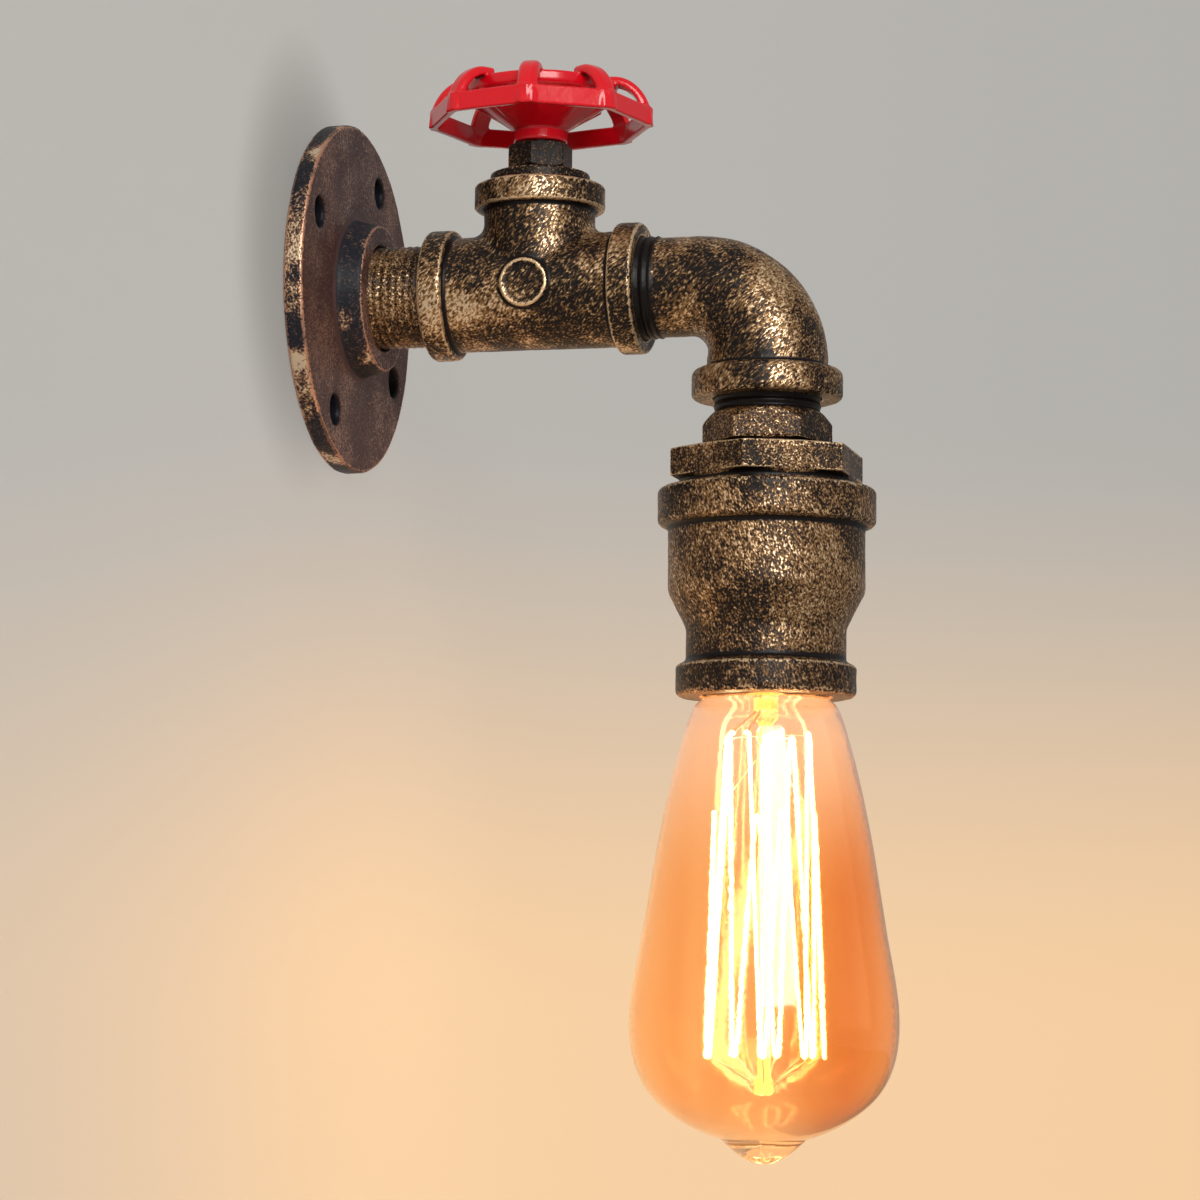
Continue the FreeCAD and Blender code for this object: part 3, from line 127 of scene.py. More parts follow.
class NodeMaker:
    """A node tree that nodes are added to in one way, whatever it makes."""

    def __init__(self, tree: bpy.types.NodeTree) -> None:
        """Take a material's or a geometry node tree."""
        self.tree = tree

    def node(self, kind: str, inputs: dict | None = None, **settings: object) -> bpy.types.Node:
        """Add a node, set it up and link it.

        Args:
            kind: the node's type.
            inputs: values, sockets or Value objects by input name or index.
            settings: the node's attributes, set before anything is linked.

        Returns:
            The new node.
        """
        node = self.tree.nodes.new(kind)
        for name, setting in settings.items():
            setattr(node, name, setting)
        for name, given in (inputs or {}).items():
            self._feed(node.inputs[name], given)
        return node

    def output(self, kind: str, inputs: dict | None = None, **settings: object) -> Socket:
        """The first output of a new node."""
        return self.node(kind, inputs, **settings).outputs[0]

    def _feed(self, target: Socket, given: object) -> None:
        """Link or set one input.

        Args:
            target: the input socket.
            given: a number, a colour, a socket or a Value.
        """
        if isinstance(given, Value):
            given = given.socket
        if isinstance(given, Socket):
            self.tree.links.new(given, target)
        elif isinstance(given, (tuple, list, Vector)) and len(given) == 3 and target.type == "RGBA":
            target.default_value = (*given, 1.0)
        else:
            target.default_value = given

    def math(self, operation: str, *operands: object) -> Value:
        """Result of a new Math node over numbers and values."""
        return Value(self, self.output("ShaderNodeMath", dict(enumerate(operands)), operation=operation))


class Graph(NodeMaker):
    """A material and its nodes."""

    def __init__(self, name: str) -> None:
        """Start an empty material.

        Args:
            name: the material's name.
        """
        self.material = bpy.data.materials.new(name)
        self.material.use_nodes = True
        super().__init__(self.material.node_tree)
        self.tree.nodes.clear()
        self.coordinates = self.node("ShaderNodeTexCoord")
        self.parts = self.node("ShaderNodeSeparateXYZ", {0: self.coordinates.outputs["Object"]})

    def along(self, axis: str) -> Value:
        """Object coordinate along the axis called X, Y or Z."""
        return Value(self, self.parts.outputs[axis])

    def mix(self, factor: object, first: object, second: object) -> Socket:
        """Mix of two colours or sockets; the factor is the second one's share."""
        return self.node("ShaderNodeMix", {0: factor, 6: first, 7: second}, data_type="RGBA").outputs[2]

    def place(self, stretch: tuple = (1.0, 1.0, 1.0), turn: tuple = (0.0, 0.0, 0.0)) -> Socket:
        """Object coordinates that turn a pattern and stretch it along the turned axes."""
        inputs = {"Vector": self.coordinates.outputs["Object"], "Scale": stretch, "Rotation": turn}
        return self.output("ShaderNodeMapping", inputs, vector_type="TEXTURE")

    def noise(self, scale: float, detail: float = 2.0, rough: float = 0.5, where: object = None) -> Value:
        """Fractal noise on Object coordinates.

        Args:
            scale: cells per metre.
            detail: octaves.
            rough: weight of the finer octaves.
            where: coordinate socket, or None for plain Object coordinates.

        Returns:
            The noise value, near a half on average.
        """
        where = where or self.coordinates.outputs["Object"]
        inputs = {"Vector": where, "Scale": scale, "Detail": detail, "Roughness": rough}
        return Value(self, self.output("ShaderNodeTexNoise", inputs))

    def attribute(self, name: str) -> Value:
        """A mesh attribute as a number."""
        return Value(self, self.node("ShaderNodeAttribute", attribute_name=name).outputs["Fac"])

    def bump(self, height: object, distance: float, strength: float = 1.0) -> Socket:
        """Normal of a bump, from a height of nought to one that stands for a depth in metres."""
        inputs = {"Height": height, "Distance": distance, "Strength": strength}
        return self.output("ShaderNodeBump", inputs)

    def principled(self, **inputs: object) -> Socket:
        """The principled shader, whose inputs are named with underscores for spaces."""
        named = {name.replace("_", " "): given for name, given in inputs.items()}
        return self.output("ShaderNodeBsdfPrincipled", named)

    def blend(self, factor: object, first: Socket, second: Socket) -> Socket:
        """Mix of two surface shaders; the factor is the second one's share."""
        return self.output("ShaderNodeMixShader", {0: factor, 1: first, 2: second})

    def finish(self, surface: Socket) -> bpy.types.Material:
        """Connect a surface shader to the output and return the material."""
        self.node("ShaderNodeOutputMaterial", {"Surface": surface})
        return self.material


class Stroke(Enum):
    """How the dry brush went: the flecks' stretch, and their turn about the arm's side axis in degrees."""

    SLANTED = ((1.0, 2.3, 1.0), -45.0)
    STEEP = ((1.0, 1.0, 1.5), -20.0)
    EVEN = ((1.0, 1.0, 1.0), 0.0)

    @property
    def stretch(self) -> tuple:
        """Stretch along each axis."""
        return self.value[0]

    @property
    def turn(self) -> tuple:
        """Euler angles in radians."""
        return (math.radians(self.value[1]), 0.0, 0.0)


@dataclass(frozen=True)
class Finish:
    """A material's recipe. Scales are in cells per metre; a band holds the two ends of a smooth step."""

    name: str

    def surface(self, graph: Graph) -> Socket:
        """The surface shader, which each kind of finish makes in the material's graph."""
        raise NotImplementedError

    def build(self) -> bpy.types.Material:
        """Make the material."""
        graph = Graph(self.name)
        return graph.finish(self.surface(graph))


@dataclass(frozen=True)
class BrushedCasting(Finish):
    """Black brown paint, dry brushed with antique gold that catches on edges and grain."""

    cover: float = 0.45
    stroke: Stroke = Stroke.EVEN
    base: tuple = (0.005, 0.0035, 0.0035)
    brown: tuple = (0.120, 0.056, 0.021)
    metal: tuple = (0.33, 0.185, 0.076)
    pale: tuple = (0.74, 0.57, 0.38)
    edge_metal: tuple = (0.74, 0.52, 0.31)
    gloss: float = 0.40
    sheen: float = 0.12
    fleck_scale: float = 2150.0
    clump_ratio: float = 0.4
    clump_share: float = 0.30
    patch_scale: float = 75.0
    area_scale: float = 27.0
    area_share: float = 0.4
    worn_band: tuple = (0.40, 0.60)
    worn_mean: float = 0.62
    blotches: float = 0.85
    least_cover: float = 0.12
    worn_cover: float = 1.25
    bare_level: float = 0.63
    level_drop: float = 0.22
    gold_band: tuple = (-0.08, 0.12)
    glaze_band: tuple = (-0.16, 0.01)
    tone_band: tuple = (0.03, 0.18)
    hollow_band: tuple = (0.15, 0.55)
    edge_band: tuple = (0.62, 0.95)
    edge_break: float = 1.8
    scratches: float = 0.0
    scratch_scale: float = 1500.0
    scratch_length: float = 14.0
    scratch_band: tuple = (0.64, 0.68)

    def wear(self, graph: Graph) -> Value:
        """Factor on the gold's cover from place to place; one everywhere here."""
        return graph.math("MAXIMUM", 1.0, 0.0)

    def ground(self, graph: Graph) -> object:
        """Colour of the paint under the gold; plain here."""
        return self.base

    def rims(self, graph: Graph) -> object:
        """Share of the gold on the edges; full here."""
        return 1.0

    def metals(self, graph: Graph) -> tuple:
        """Colours of thin and thick gold; the same everywhere here."""
        return self.metal, self.pale

    def worn(self, graph: Graph) -> Value:
        """How freely the gold went on, in patches within wider areas.

        Args:
            graph: the material's graph.

        Returns:
            A value from nought to one, gathered round its mean.
        """
        patch = graph.noise(self.patch_scale)
        area = graph.noise(self.area_scale, detail=1.0)
        spread = (patch * (1.0 - self.area_share) + area * self.area_share).step(*self.worn_band)
        return self.worn_mean + (spread - self.worn_mean) * self.blotches

    def scored(self, graph: Graph) -> Value:
        """Long thin scratches, one along their middles."""
        along = graph.place((1.0, self.scratch_length, 1.0), Stroke.SLANTED.turn)
        return graph.noise(self.scratch_scale, detail=0.0, where=along).step(*self.scratch_band)

    def surface(self, graph: Graph) -> Socket:
        """Paint under a brown glaze, and gold where the grain is high, on edges and in scratches.

        Args:
            graph: the material's empty graph.

        Returns:
            The shader socket.
        """
        brushed = graph.place(self.stroke.stretch, self.stroke.turn)
        fleck = graph.noise(self.fleck_scale, detail=1.0, where=brushed)
        clump = graph.noise(self.fleck_scale * self.clump_ratio, detail=1.0, where=brushed)
        grain = fleck * (1.0 - self.clump_share) + clump * self.clump_share
        worn = self.worn(graph)
        wear = self.wear(graph)
        cover = self.cover * (self.least_cover + self.worn_cover * worn) * wear
        level = self.bare_level - self.level_drop * cover
        gold, glaze, thick = (grain.step(level + low, level + high)
                              for low, high in (self.gold_band, self.glaze_band, self.tone_band))
        open_skin = (1.0 - graph.attribute("hollow").step(*self.hollow_band)) * wear.minimum(1.0)
        broken_ridge = graph.attribute("ridge") + (grain - 0.5) * self.edge_break
        edge = broken_ridge.step(*self.edge_band) * self.rims(graph)
        gold = gold.maximum(edge) * open_skin
        if self.scratches > 0:
            gold = gold.maximum(self.scored(graph) * self.scratches * worn * open_skin)
        glaze = glaze * (0.05 + 0.95 * worn) * open_skin
        tone = graph.mix(thick, *self.metals(graph))
        colour = graph.mix(glaze, self.ground(graph), self.brown)
        colour = graph.mix(gold, colour, graph.mix(edge, tone, self.edge_metal))
        return graph.principled(
            Base_Color=colour,
            Metallic=gold * 0.80,
            Roughness=self.gloss - 0.05 * gold + 0.22 * (clump - 0.5),
            Specular_IOR_Level=0.12,
            Coat_Weight=self.sheen,
            Coat_Roughness=0.34,
            Normal=graph.bump(grain * 0.6 + gold * 0.4, distance=0.28 * MM, strength=0.8),
        )


@dataclass(frozen=True)
class ElbowPaint(BrushedCasting):
    """The elbow's finish, whose thread next to the tee stays black."""

    thread_length: float = 4.4 * MM
    edge_half: float = 0.4 * MM

    def wear(self, graph: Graph) -> Value:
        """No gold on the thread that shows beside the tee."""
        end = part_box("tee_body")[0].y - self.thread_length
        return graph.along("Y").step(end + self.edge_half, end - self.edge_half)


@dataclass(frozen=True)
class HexPaint(BrushedCasting):
    """The hex nipple's finish, whose thread under the elbow stays black."""

    thread_length: float = 3.3 * MM
    edge_offsets: tuple = (0.3 * MM, -0.5 * MM)

    def wear(self, graph: Graph) -> Value:
        """No gold above the hexagon."""
        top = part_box("street_elbow")[0].z - self.thread_length
        return graph.along("Z").step(top + self.edge_offsets[0], top + self.edge_offsets[1])


@dataclass(frozen=True)
class SocketPaint(BrushedCasting):
    """The socket's finish, with less gold on the bead round the lit mouth."""

    bead_height: float = 9.0 * MM
    bead_fade: float = 3.0 * MM
    bead_share: float = 0.58

    def wear(self, graph: Graph) -> Value:
        """Little more than half the gold on the lowest bead."""
        top = MOUTH_Z + self.bead_height
        return (1.0 - self.bead_share) * graph.along("Z").step(top, top + self.bead_fade) + self.bead_share


@dataclass(frozen=True)
class FlangePaint(BrushedCasting):
    """Plum brown paint on the face, blue black with rubbed gold patches on the flange's rim and boss."""

    cover: float = 0.46
    base: tuple = (0.052, 0.028, 0.027)
    brown: tuple = (0.132, 0.075, 0.063)
    metal: tuple = (0.24, 0.145, 0.110)
    pale: tuple = (0.42, 0.29, 0.21)
    edge_metal: tuple = (0.62, 0.34, 0.22)
    fleck_scale: float = 1700.0
    gloss: float = 0.46
    sheen: float = 0.05
    side_ground: tuple = (0.011, 0.012, 0.017)
    # painted shade inside the screw holes
    hole_ground: tuple = (0.004, 0.005, 0.008)
    side_metal: tuple = (0.34, 0.19, 0.10)
    side_pale: tuple = (0.76, 0.60, 0.42)
    rim_band: tuple = (42.4 * MM, 42.6 * MM)
    boss_band: tuple = (20.5 * MM, 19.5 * MM)
    boss_foot_band: tuple = (-5.2 * MM, -5.7 * MM)
    boss_top_band: tuple = (-11.3 * MM, -10.9 * MM)
    hole_mouth_band: tuple = (-4.9 * MM, -4.3 * MM)
    hole_back_band: tuple = (-0.1 * MM, -0.6 * MM)
    hole_side_band: tuple = (42.2 * MM, 41.7 * MM)
    screw_circle: float = 34.0 * MM
    screw_band: tuple = (5.5 * MM, 6.5 * MM)
    rub_scale: float = 62.0
    rub_band: tuple = (0.47, 0.60)
    rub_gain: float = 2.6
    rub_loss: float = 0.8

    def radius(self, graph: Graph) -> Value:
        """Distance from the flange's axis."""
        across, up = graph.along("X"), graph.along("Z")
        return (across * across + up * up) ** 0.5

    def sides(self, graph: Graph) -> Value:
        """One on the rim and on the boss, nought on the face.

        Args:
            graph: the material's graph.

        Returns:
            The value.
        """
        radius, depth = self.radius(graph), graph.along("Y")
        boss = radius.step(*self.boss_band) * depth.step(*self.boss_foot_band)
        return radius.step(*self.rim_band).maximum(boss * depth.step(*self.boss_top_band))

    def holes(self, graph: Graph) -> Value:
        """One inside the screw holes.

        Args:
            graph: the material's graph.

        Returns:
            The value.
        """
        depth = graph.along("Y")
        inside = depth.step(*self.hole_mouth_band) * depth.step(*self.hole_back_band)
        return inside * self.radius(graph).step(*self.hole_side_band)

    def wear(self, graph: Graph) -> Value:
        """Fine flecks on the face, large worn patches on the rim and the boss, none in the holes.

        Args:
            graph: the material's graph.

        Returns:
            The value.
        """
        rubbed = graph.noise(self.rub_scale, detail=1.0).step(*self.rub_band)
        worn = 1.0 + self.sides(graph) * (rubbed * self.rub_gain - self.rub_loss)
        return worn * (1.0 - self.holes(graph))

    def ground(self, graph: Graph) -> object:
        """Plum on the face, blue black on the sides, and a darker blue black painted shade in the holes."""
        painted = graph.mix(self.sides(graph), self.base, self.side_ground)
        # painted shade: darker blue black inside the screw holes
        return graph.mix(self.holes(graph), painted, self.hole_ground)

    def metals(self, graph: Graph) -> tuple:
        """Dull copper on the face, gold on the sides."""
        sides = self.sides(graph)
        return graph.mix(sides, self.metal, self.side_metal), graph.mix(sides, self.pale, self.side_pale)

    def rims(self, graph: Graph) -> object:
        """Edges stay dark round the screw holes."""
        return abs(self.radius(graph) - self.screw_circle).step(*self.screw_band)


@dataclass(frozen=True)
class GlossPaint(Finish):
    """Thick glossy paint with a slight sag, and painted shade in its hollows."""

    colour: tuple
    hollow_colour: tuple
    hollow_band: tuple = (0.1, 0.8)
    sag_scale: float = 140.0
    fine_scale: float = 900.0

    def surface(self, graph: Graph) -> Socket:
        """A coated colour, with a darker painted shade in the hollows.

        Args:
            graph: the material's empty graph.

        Returns:
            The shader socket.
        """
        sag, fine = graph.noise(self.sag_scale), graph.noise(self.fine_scale)
        # painted shade: a darker red where the mesh is hollow
        hollow = graph.attribute("hollow").step(*self.hollow_band)
        return graph.principled(
            Base_Color=graph.mix(hollow, self.colour, self.hollow_colour),
            Roughness=0.22 + 0.06 * fine,
            Specular_IOR_Level=0.30,
            Coat_Weight=0.40,
            Coat_Roughness=0.06,
            Normal=graph.bump(sag * 0.8 + fine * 0.2, distance=0.4 * MM, strength=0.35),
        )


@dataclass(frozen=True)
class PlainMetal(Finish):
    """Bare or plated metal with fine turning marks and handling stains."""

    colour: tuple
    stain: tuple
    rough: float = 0.3
    mark_scale: float = 1500.0
    mark_stretch: tuple = (7.0, 7.0, 1.0)
    stain_scale: float = 160.0
    stain_band: tuple = (0.45, 0.75)

    def surface(self, graph: Graph) -> Socket:
        """Metal with marks in its roughness and stains in its colour.

        Args:
            graph: the material's empty graph.

        Returns:
            The shader socket.
        """
        marks = graph.noise(self.mark_scale, where=graph.place(self.mark_stretch))
        stain = graph.noise(self.stain_scale, detail=3.0, rough=0.6)
        return graph.principled(
            Base_Color=graph.mix(stain.step(*self.stain_band), self.colour, self.stain),
            Metallic=1.0,
            Roughness=self.rough + 0.14 * (marks - 0.5) + 0.2 * (stain - 0.5),
            Normal=graph.bump(marks, distance=0.05 * MM, strength=0.4),
        )


@dataclass(frozen=True)
class Moulded(Finish):
    """Plastic, rubber, ceramic or cement with a fine surface."""

    colour: tuple
    second: tuple
    rough: float = 0.45
    grain: float = 700.0
    coat: float = 0.0
    cloud_scale: float = 90.0
    cloud_band: tuple = (0.4, 0.7)

    def surface(self, graph: Graph) -> Socket:
        """Two close colours in soft clouds, under a fine grain.

        Args:
            graph: the material's empty graph.

        Returns:
            The shader socket.
        """
        fine = graph.noise(self.grain, rough=0.6)
        cloud = graph.noise(self.cloud_scale).step(*self.cloud_band)
        return graph.principled(
            Base_Color=graph.mix(cloud, self.colour, self.second),
            Roughness=self.rough + 0.12 * (fine - 0.5),
            Coat_Weight=self.coat,
            Coat_Roughness=0.1,
            Normal=graph.bump(fine, distance=0.04 * MM, strength=0.4),
        )


@dataclass(frozen=True)
class TwoToneInsulation(Finish):
    """Green core insulation with a yellow stripe on each side."""

    green: tuple = (0.05, 0.32, 0.08)
    yellow: tuple = (0.75, 0.62, 0.05)
    stripe_band: tuple = (0.3e-6, 0.4e-6)

    def surface(self, graph: Graph) -> Socket:
        """Stripes where the square of the way across is large.

        Args:
            graph: the material's empty graph.

        Returns:
            The shader socket.
        """
        across = graph.along("X")
        stripe = (across * across).step(*self.stripe_band)
        return graph.principled(Base_Color=graph.mix(stripe, self.green, self.yellow), Roughness=0.45)


@dataclass(frozen=True)
class LustreGlass(Finish):
    """Amber lustre glass, paler near the neck, with a faint painted glow that stands for the filament's light
    spread in it, and deeper amber painted shade on its sides.

    The neck's band is given in depths under the mouth, the sides' bands in distances from the bulb's
    axis, minus away from the wall.
    """

    body: tuple = (0.93, 0.69, 0.46)
    # colour of the painted shade on the glass's sides
    deep: tuple = (0.80, 0.42, 0.16)
    neck: tuple = (0.97, 0.83, 0.68)
    shadow: tuple = (0.97, 0.82, 0.66)
    # colours and strength of the painted glow: the glass is no lamp
    glow: tuple = (0.70, 0.27, 0.06)
    neck_glow: tuple = (1.0, 0.45, 0.28)
    glow_strength: float = 0.10
    haze: float = 0.06
    wave_scale: float = 28.0
    neck_band: tuple = (50.0 * MM, 4.0 * MM)
    room_side: tuple = (-6.0 * MM, -17.0 * MM)
    room_rim: tuple = (-21.0 * MM, -30.0 * MM)
    room_rim_loss: float = 0.65
    wall_side: tuple = (10.0 * MM, 15.0 * MM)
    wall_rim: tuple = (15.0 * MM, 24.0 * MM)
    wall_share: float = 0.35

    def surface(self, graph: Graph) -> Socket:
        """Glass that lets lamp light straight through, with deeper amber painted shade on its sides and a
        faint painted glow.

        Args:
            graph: the material's empty graph.

        Returns:
            The shader socket.
        """
        neck = graph.along("Z").step(MOUTH_Z - self.neck_band[0], MOUTH_Z - self.neck_band[1])
        across = graph.along("Y") - HEAD_AXIS_Y
        # painted shade: deeper amber on the side away from the wall, fading at its rim, and a weaker band on
        # the wall side
        room_side_painted_shade = across.step(*self.room_side) * (1.0 - self.room_rim_loss * across.step(*self.room_rim))
        wall = across.step(*self.wall_side) * (1.0 - across.step(*self.wall_rim)) * self.wall_share
        tint_and_painted_shade = graph.mix(room_side_painted_shade.maximum(wall), self.body, self.deep)
        glass = graph.principled(
            Base_Color=graph.mix(neck, tint_and_painted_shade, self.neck),
            Roughness=self.haze,
            IOR=1.47,
            Transmission_Weight=1.0,
            Coat_Weight=0.2,
            Coat_Roughness=0.03,
            # painted glow that stands for the filament's light spread in the glass
            Emission_Color=graph.mix(neck, self.glow, self.neck_glow),
            Emission_Strength=self.glow_strength,
            Normal=graph.bump(graph.noise(self.wave_scale, detail=1.0), distance=0.6 * MM, strength=0.25),
        )
        clear = graph.output("ShaderNodeBsdfTransparent", {"Color": self.shadow})
        return graph.blend(graph.node("ShaderNodeLightPath").outputs["Is Shadow Ray"], glass, clear)


@dataclass(frozen=True)
class StemGlass(Finish):
    """Clear glass of the stem, with a painted glow that stands for the filament's light round it."""

    colour: tuple = (0.98, 0.90, 0.70)
    # colours of the painted glow: the stem is no lamp
    glow: tuple = (1.0, 0.70, 0.16)
    mouth_glow: tuple = (0.75, 0.22, 0.02)
    mouth_band: tuple = (10.0 * MM, 3.0 * MM)
    wave_scale: float = 200.0

    def surface(self, graph: Graph) -> Socket:
        """Glass with a painted glow that reddens towards the mouth.

        Args:
            graph: the material's empty graph.

        Returns:
            The shader socket.
        """
        mouth = graph.along("Z").step(MOUTH_Z - self.mouth_band[0], MOUTH_Z - self.mouth_band[1])
        return graph.principled(
            Base_Color=self.colour,
            Roughness=0.05,
            IOR=1.5,
            Transmission_Weight=1.0,
            # painted glow for the filament's light on the stem
            Emission_Color=graph.mix(mouth, self.glow, self.mouth_glow),
            Emission_Strength=0.8,
            Normal=graph.bump(graph.noise(self.wave_scale, detail=1.0), distance=0.2 * MM, strength=0.3),
        )


@dataclass(frozen=True)
class GlowingThread(Finish):
    """Lit carbon thread, a little hotter in places."""

    strength: float
    carbon: tuple = (0.25, 0.20, 0.15)
    warm: tuple = (1.0, 0.72, 0.32)
    hot: tuple = (1.0, 0.84, 0.52)
    heat_scale: float = 60.0
    heat_band: tuple = (0.3, 0.7)

    def surface(self, graph: Graph) -> Socket:
        """Carbon that shines from warm to hot.

        Args:
            graph: the material's empty graph.

        Returns:
            The shader socket.
        """
        heat = graph.noise(self.heat_scale, detail=1.0).step(*self.heat_band)
        return graph.principled(
            Base_Color=self.carbon,
            Roughness=0.6,
            Emission_Color=graph.mix(heat, self.warm, self.hot),
            Emission_Strength=self.strength,
        )


class Finishes:
    """Every finish of the light, by the record's slot name."""

    def __init__(self) -> None:
        """Build the materials."""
        recipes = {
            "flange": FlangePaint("flange_plum_brown"),
            "tee": BrushedCasting("tee_dry_brushed_gold", 0.80, Stroke.SLANTED, scratches=0.5),
            "elbow": ElbowPaint("elbow_dry_brushed_gold", 0.62, Stroke.SLANTED, scratches=0.8),
            "nipple": BrushedCasting("nipple_dry_brushed_gold", 0.48),
            "hexagon": HexPaint("hexagon_dry_brushed_gold", 0.34),
            "bushing": BrushedCasting("bushing_dry_brushed_gold", 0.52, blotches=0.6),
            "socket": SocketPaint("socket_dry_brushed_gold", 0.50, Stroke.STEEP, blotches=0.65),
            "thread": BrushedCasting("black_threads", 0.16),
            # the wheel's second colour is the painted shade in its hollows
            "red_paint": GlossPaint("red_gloss_paint", (0.60, 0.002, 0.010), (0.16, 0.0, 0.004)),
            "zinc_steel": PlainMetal("zinc_plate", (0.60, 0.60, 0.58), (0.42, 0.41, 0.38)),
            "brass": PlainMetal("plain_brass", (0.80, 0.56, 0.24), (0.55, 0.34, 0.14), 0.26),
            "tinned_copper": PlainMetal("tinned_wire", (0.72, 0.69, 0.64), (0.5, 0.45, 0.4), 0.35),
            "switch_plastic": Moulded("black_switch_plastic", (0.018, 0.018, 0.018), (0.03, 0.03, 0.03)),
            "ceramic": Moulded("white_glazed_ceramic", (0.80, 0.77, 0.70), (0.72, 0.68, 0.6),
                               rough=0.25, grain=500.0, coat=0.5),
            "black_glass": Moulded("black_cap_glass", (0.012, 0.01, 0.014), (0.03, 0.02, 0.03),
                                   rough=0.12, grain=300.0, coat=0.4),
            "cement": Moulded("cap_cement", (0.45, 0.37, 0.28), (0.35, 0.28, 0.2), 0.85),
            "black_sheath": Moulded("cable_sheath", (0.015, 0.015, 0.016), (0.025, 0.025, 0.026), 0.55),
            "brown_core": Moulded("brown_insulation", (0.10, 0.035, 0.015), (0.13, 0.05, 0.02), 0.4),
            "blue_core": Moulded("blue_insulation", (0.02, 0.08, 0.35), (0.03, 0.10, 0.4), 0.4),
            "green_core": TwoToneInsulation("green_yellow_insulation"),
            "amber_glass": LustreGlass("amber_lustre_glass"),
            "clear_glass": StemGlass("clear_stem_glass"),
            "glowing_filament": GlowingThread("lit_carbon_thread", 30.0),
        }
        self.by_slot = {slot: recipe.build() for slot, recipe in recipes.items()}

    def of(self, name: str) -> bpy.types.Material:
        """The material of a slot or finish name."""
        return self.by_slot[name]


def new_piece(name: str, data: bpy.types.ID) -> bpy.types.Object:
    """Link a new object at the origin.

    Args:
        name: the object's name.
        data: its mesh, camera or lamp.

    Returns:
        The object.
    """
    piece = bpy.data.objects.new(name, data)
    bpy.context.scene.collection.objects.link(piece)
    return piece


def bake(piece: bpy.types.Object) -> None:
    """Turn a piece's modifiers into its plain mesh.

    Args:
        piece: an object with a mesh and modifiers.
    """
    bpy.context.view_layer.update()
    evaluated = piece.evaluated_get(bpy.context.evaluated_depsgraph_get())
    mesh = bpy.data.meshes.new_from_object(evaluated)
    piece.modifiers.clear()
    old = piece.data
    piece.data = mesh
    bpy.data.meshes.remove(old)
    mesh.name = piece.name


def dress(piece: bpy.types.Object, material: bpy.types.Material) -> None:
    """Give a piece one material.

    Args:
        piece: an object with a mesh.
        material: its material.
    """
    piece.data.materials.clear()
    piece.data.materials.append(material)
    piece.data.polygons.foreach_set("material_index", [0] * len(piece.data.polygons))


class Surface:
    """Vertex maths on a closed mesh: smoothing, and where it is ridged or hollow."""

    SHRINK = 0.5
    SWELL = 0.52
    RIDGE_ROUNDS = 6
    HOLLOW_ROUNDS = 16

    def __init__(self, mesh: bpy.types.Mesh) -> None:
        """Read a mesh.

        Args:
            mesh: the mesh to work on.
        """
        self.mesh = mesh
        self.count = len(mesh.vertices)
        edges = np.empty(len(mesh.edges) * 2, np.int32)
        mesh.edges.foreach_get("vertices", edges)
        edges = edges.reshape(-1, 2)
        self.start = np.concatenate([edges[:, 0], edges[:, 1]])
        self.end = np.concatenate([edges[:, 1], edges[:, 0]])
        self.valence = np.maximum(np.bincount(self.start, minlength=self.count), 1)
        self.points = np.empty(self.count * 3, np.float32)
        mesh.vertices.foreach_get("co", self.points)
        self.points = self.points.reshape(-1, 3).astype(float)

    def mean_of_neighbours(self, values: np.ndarray) -> np.ndarray:
        """Average of each vertex's neighbours.

        Args:
            values: one row per vertex.

        Returns:
            The averages.
        """
        columns = []
        for column in values.reshape(self.count, -1).T:
            total = np.bincount(self.start, weights=column[self.end], minlength=self.count)
            columns.append(total / self.valence)
        return np.stack(columns, 1)

    def moved_in(self, places: np.ndarray, share: float) -> np.ndarray:
        """Places moved by a share of the way to their neighbours' average."""
        return places + share * (self.mean_of_neighbours(places) - places)

    def smoothed(self, rounds: int) -> np.ndarray:
        """Smooth the vertex places, but leave the mesh as it is.

        Args:
            rounds: how many times.

        Returns:
            The smoothed places.
        """
        places = self.points
        for _ in range(rounds):
            places = self.moved_in(places, self.SHRINK)
        return places

    def fair(self, rounds: int) -> None:
        """Smooth the mesh without shrinking it much, by paired forward and back steps.

        Args:
            rounds: how many pairs.
        """
        for _ in range(rounds):
            self.points = self.moved_in(self.moved_in(self.points, self.SHRINK), -self.SWELL)
        self.write()

    def melt(self, rounds: int) -> None:
        """Sink fine relief such as threads under thick paint."""
        self.points = self.smoothed(rounds)
        self.write()

    def write(self) -> None:
        """Put the vertex places back in the mesh."""
        self.mesh.vertices.foreach_set("co", self.points.astype(np.float32).ravel())
        self.mesh.update()

    def normals(self) -> np.ndarray:
        """Vertex normals.

        Returns:
            One unit vector per vertex.
        """
        normals = np.empty(self.count * 3, np.float32)
        self.mesh.vertices.foreach_get("normal", normals)
        return normals.reshape(-1, 3).astype(float)

    def mark(self, name: str, values: np.ndarray) -> None:
        """Store one number per vertex as an attribute."""
        attribute = self.mesh.attributes.new(name, "FLOAT", "POINT")
        attribute.data.foreach_set("value", values.astype(np.float32))

    def mark_wear(self, ridge_size: float, hollow_size: float) -> None:
        """Mark convex edges as ridge and inner corners as hollow, each nought to one.

        Args:
            ridge_size: how far an edge stands proud, in metres, to count fully.
            hollow_size: the same for a hollow.
        """
        normals = self.normals()
        near = ((self.points - self.smoothed(self.RIDGE_ROUNDS)) * normals).sum(1)
        far = ((self.points - self.smoothed(self.HOLLOW_ROUNDS)) * normals).sum(1)
        self.mark("ridge", np.clip(near / ridge_size, 0, 1))
        # the hollow mark sets where the gold wears and where glossy paint gets painted shade
        self.mark("hollow", np.clip(-far / hollow_size, 0, 1))


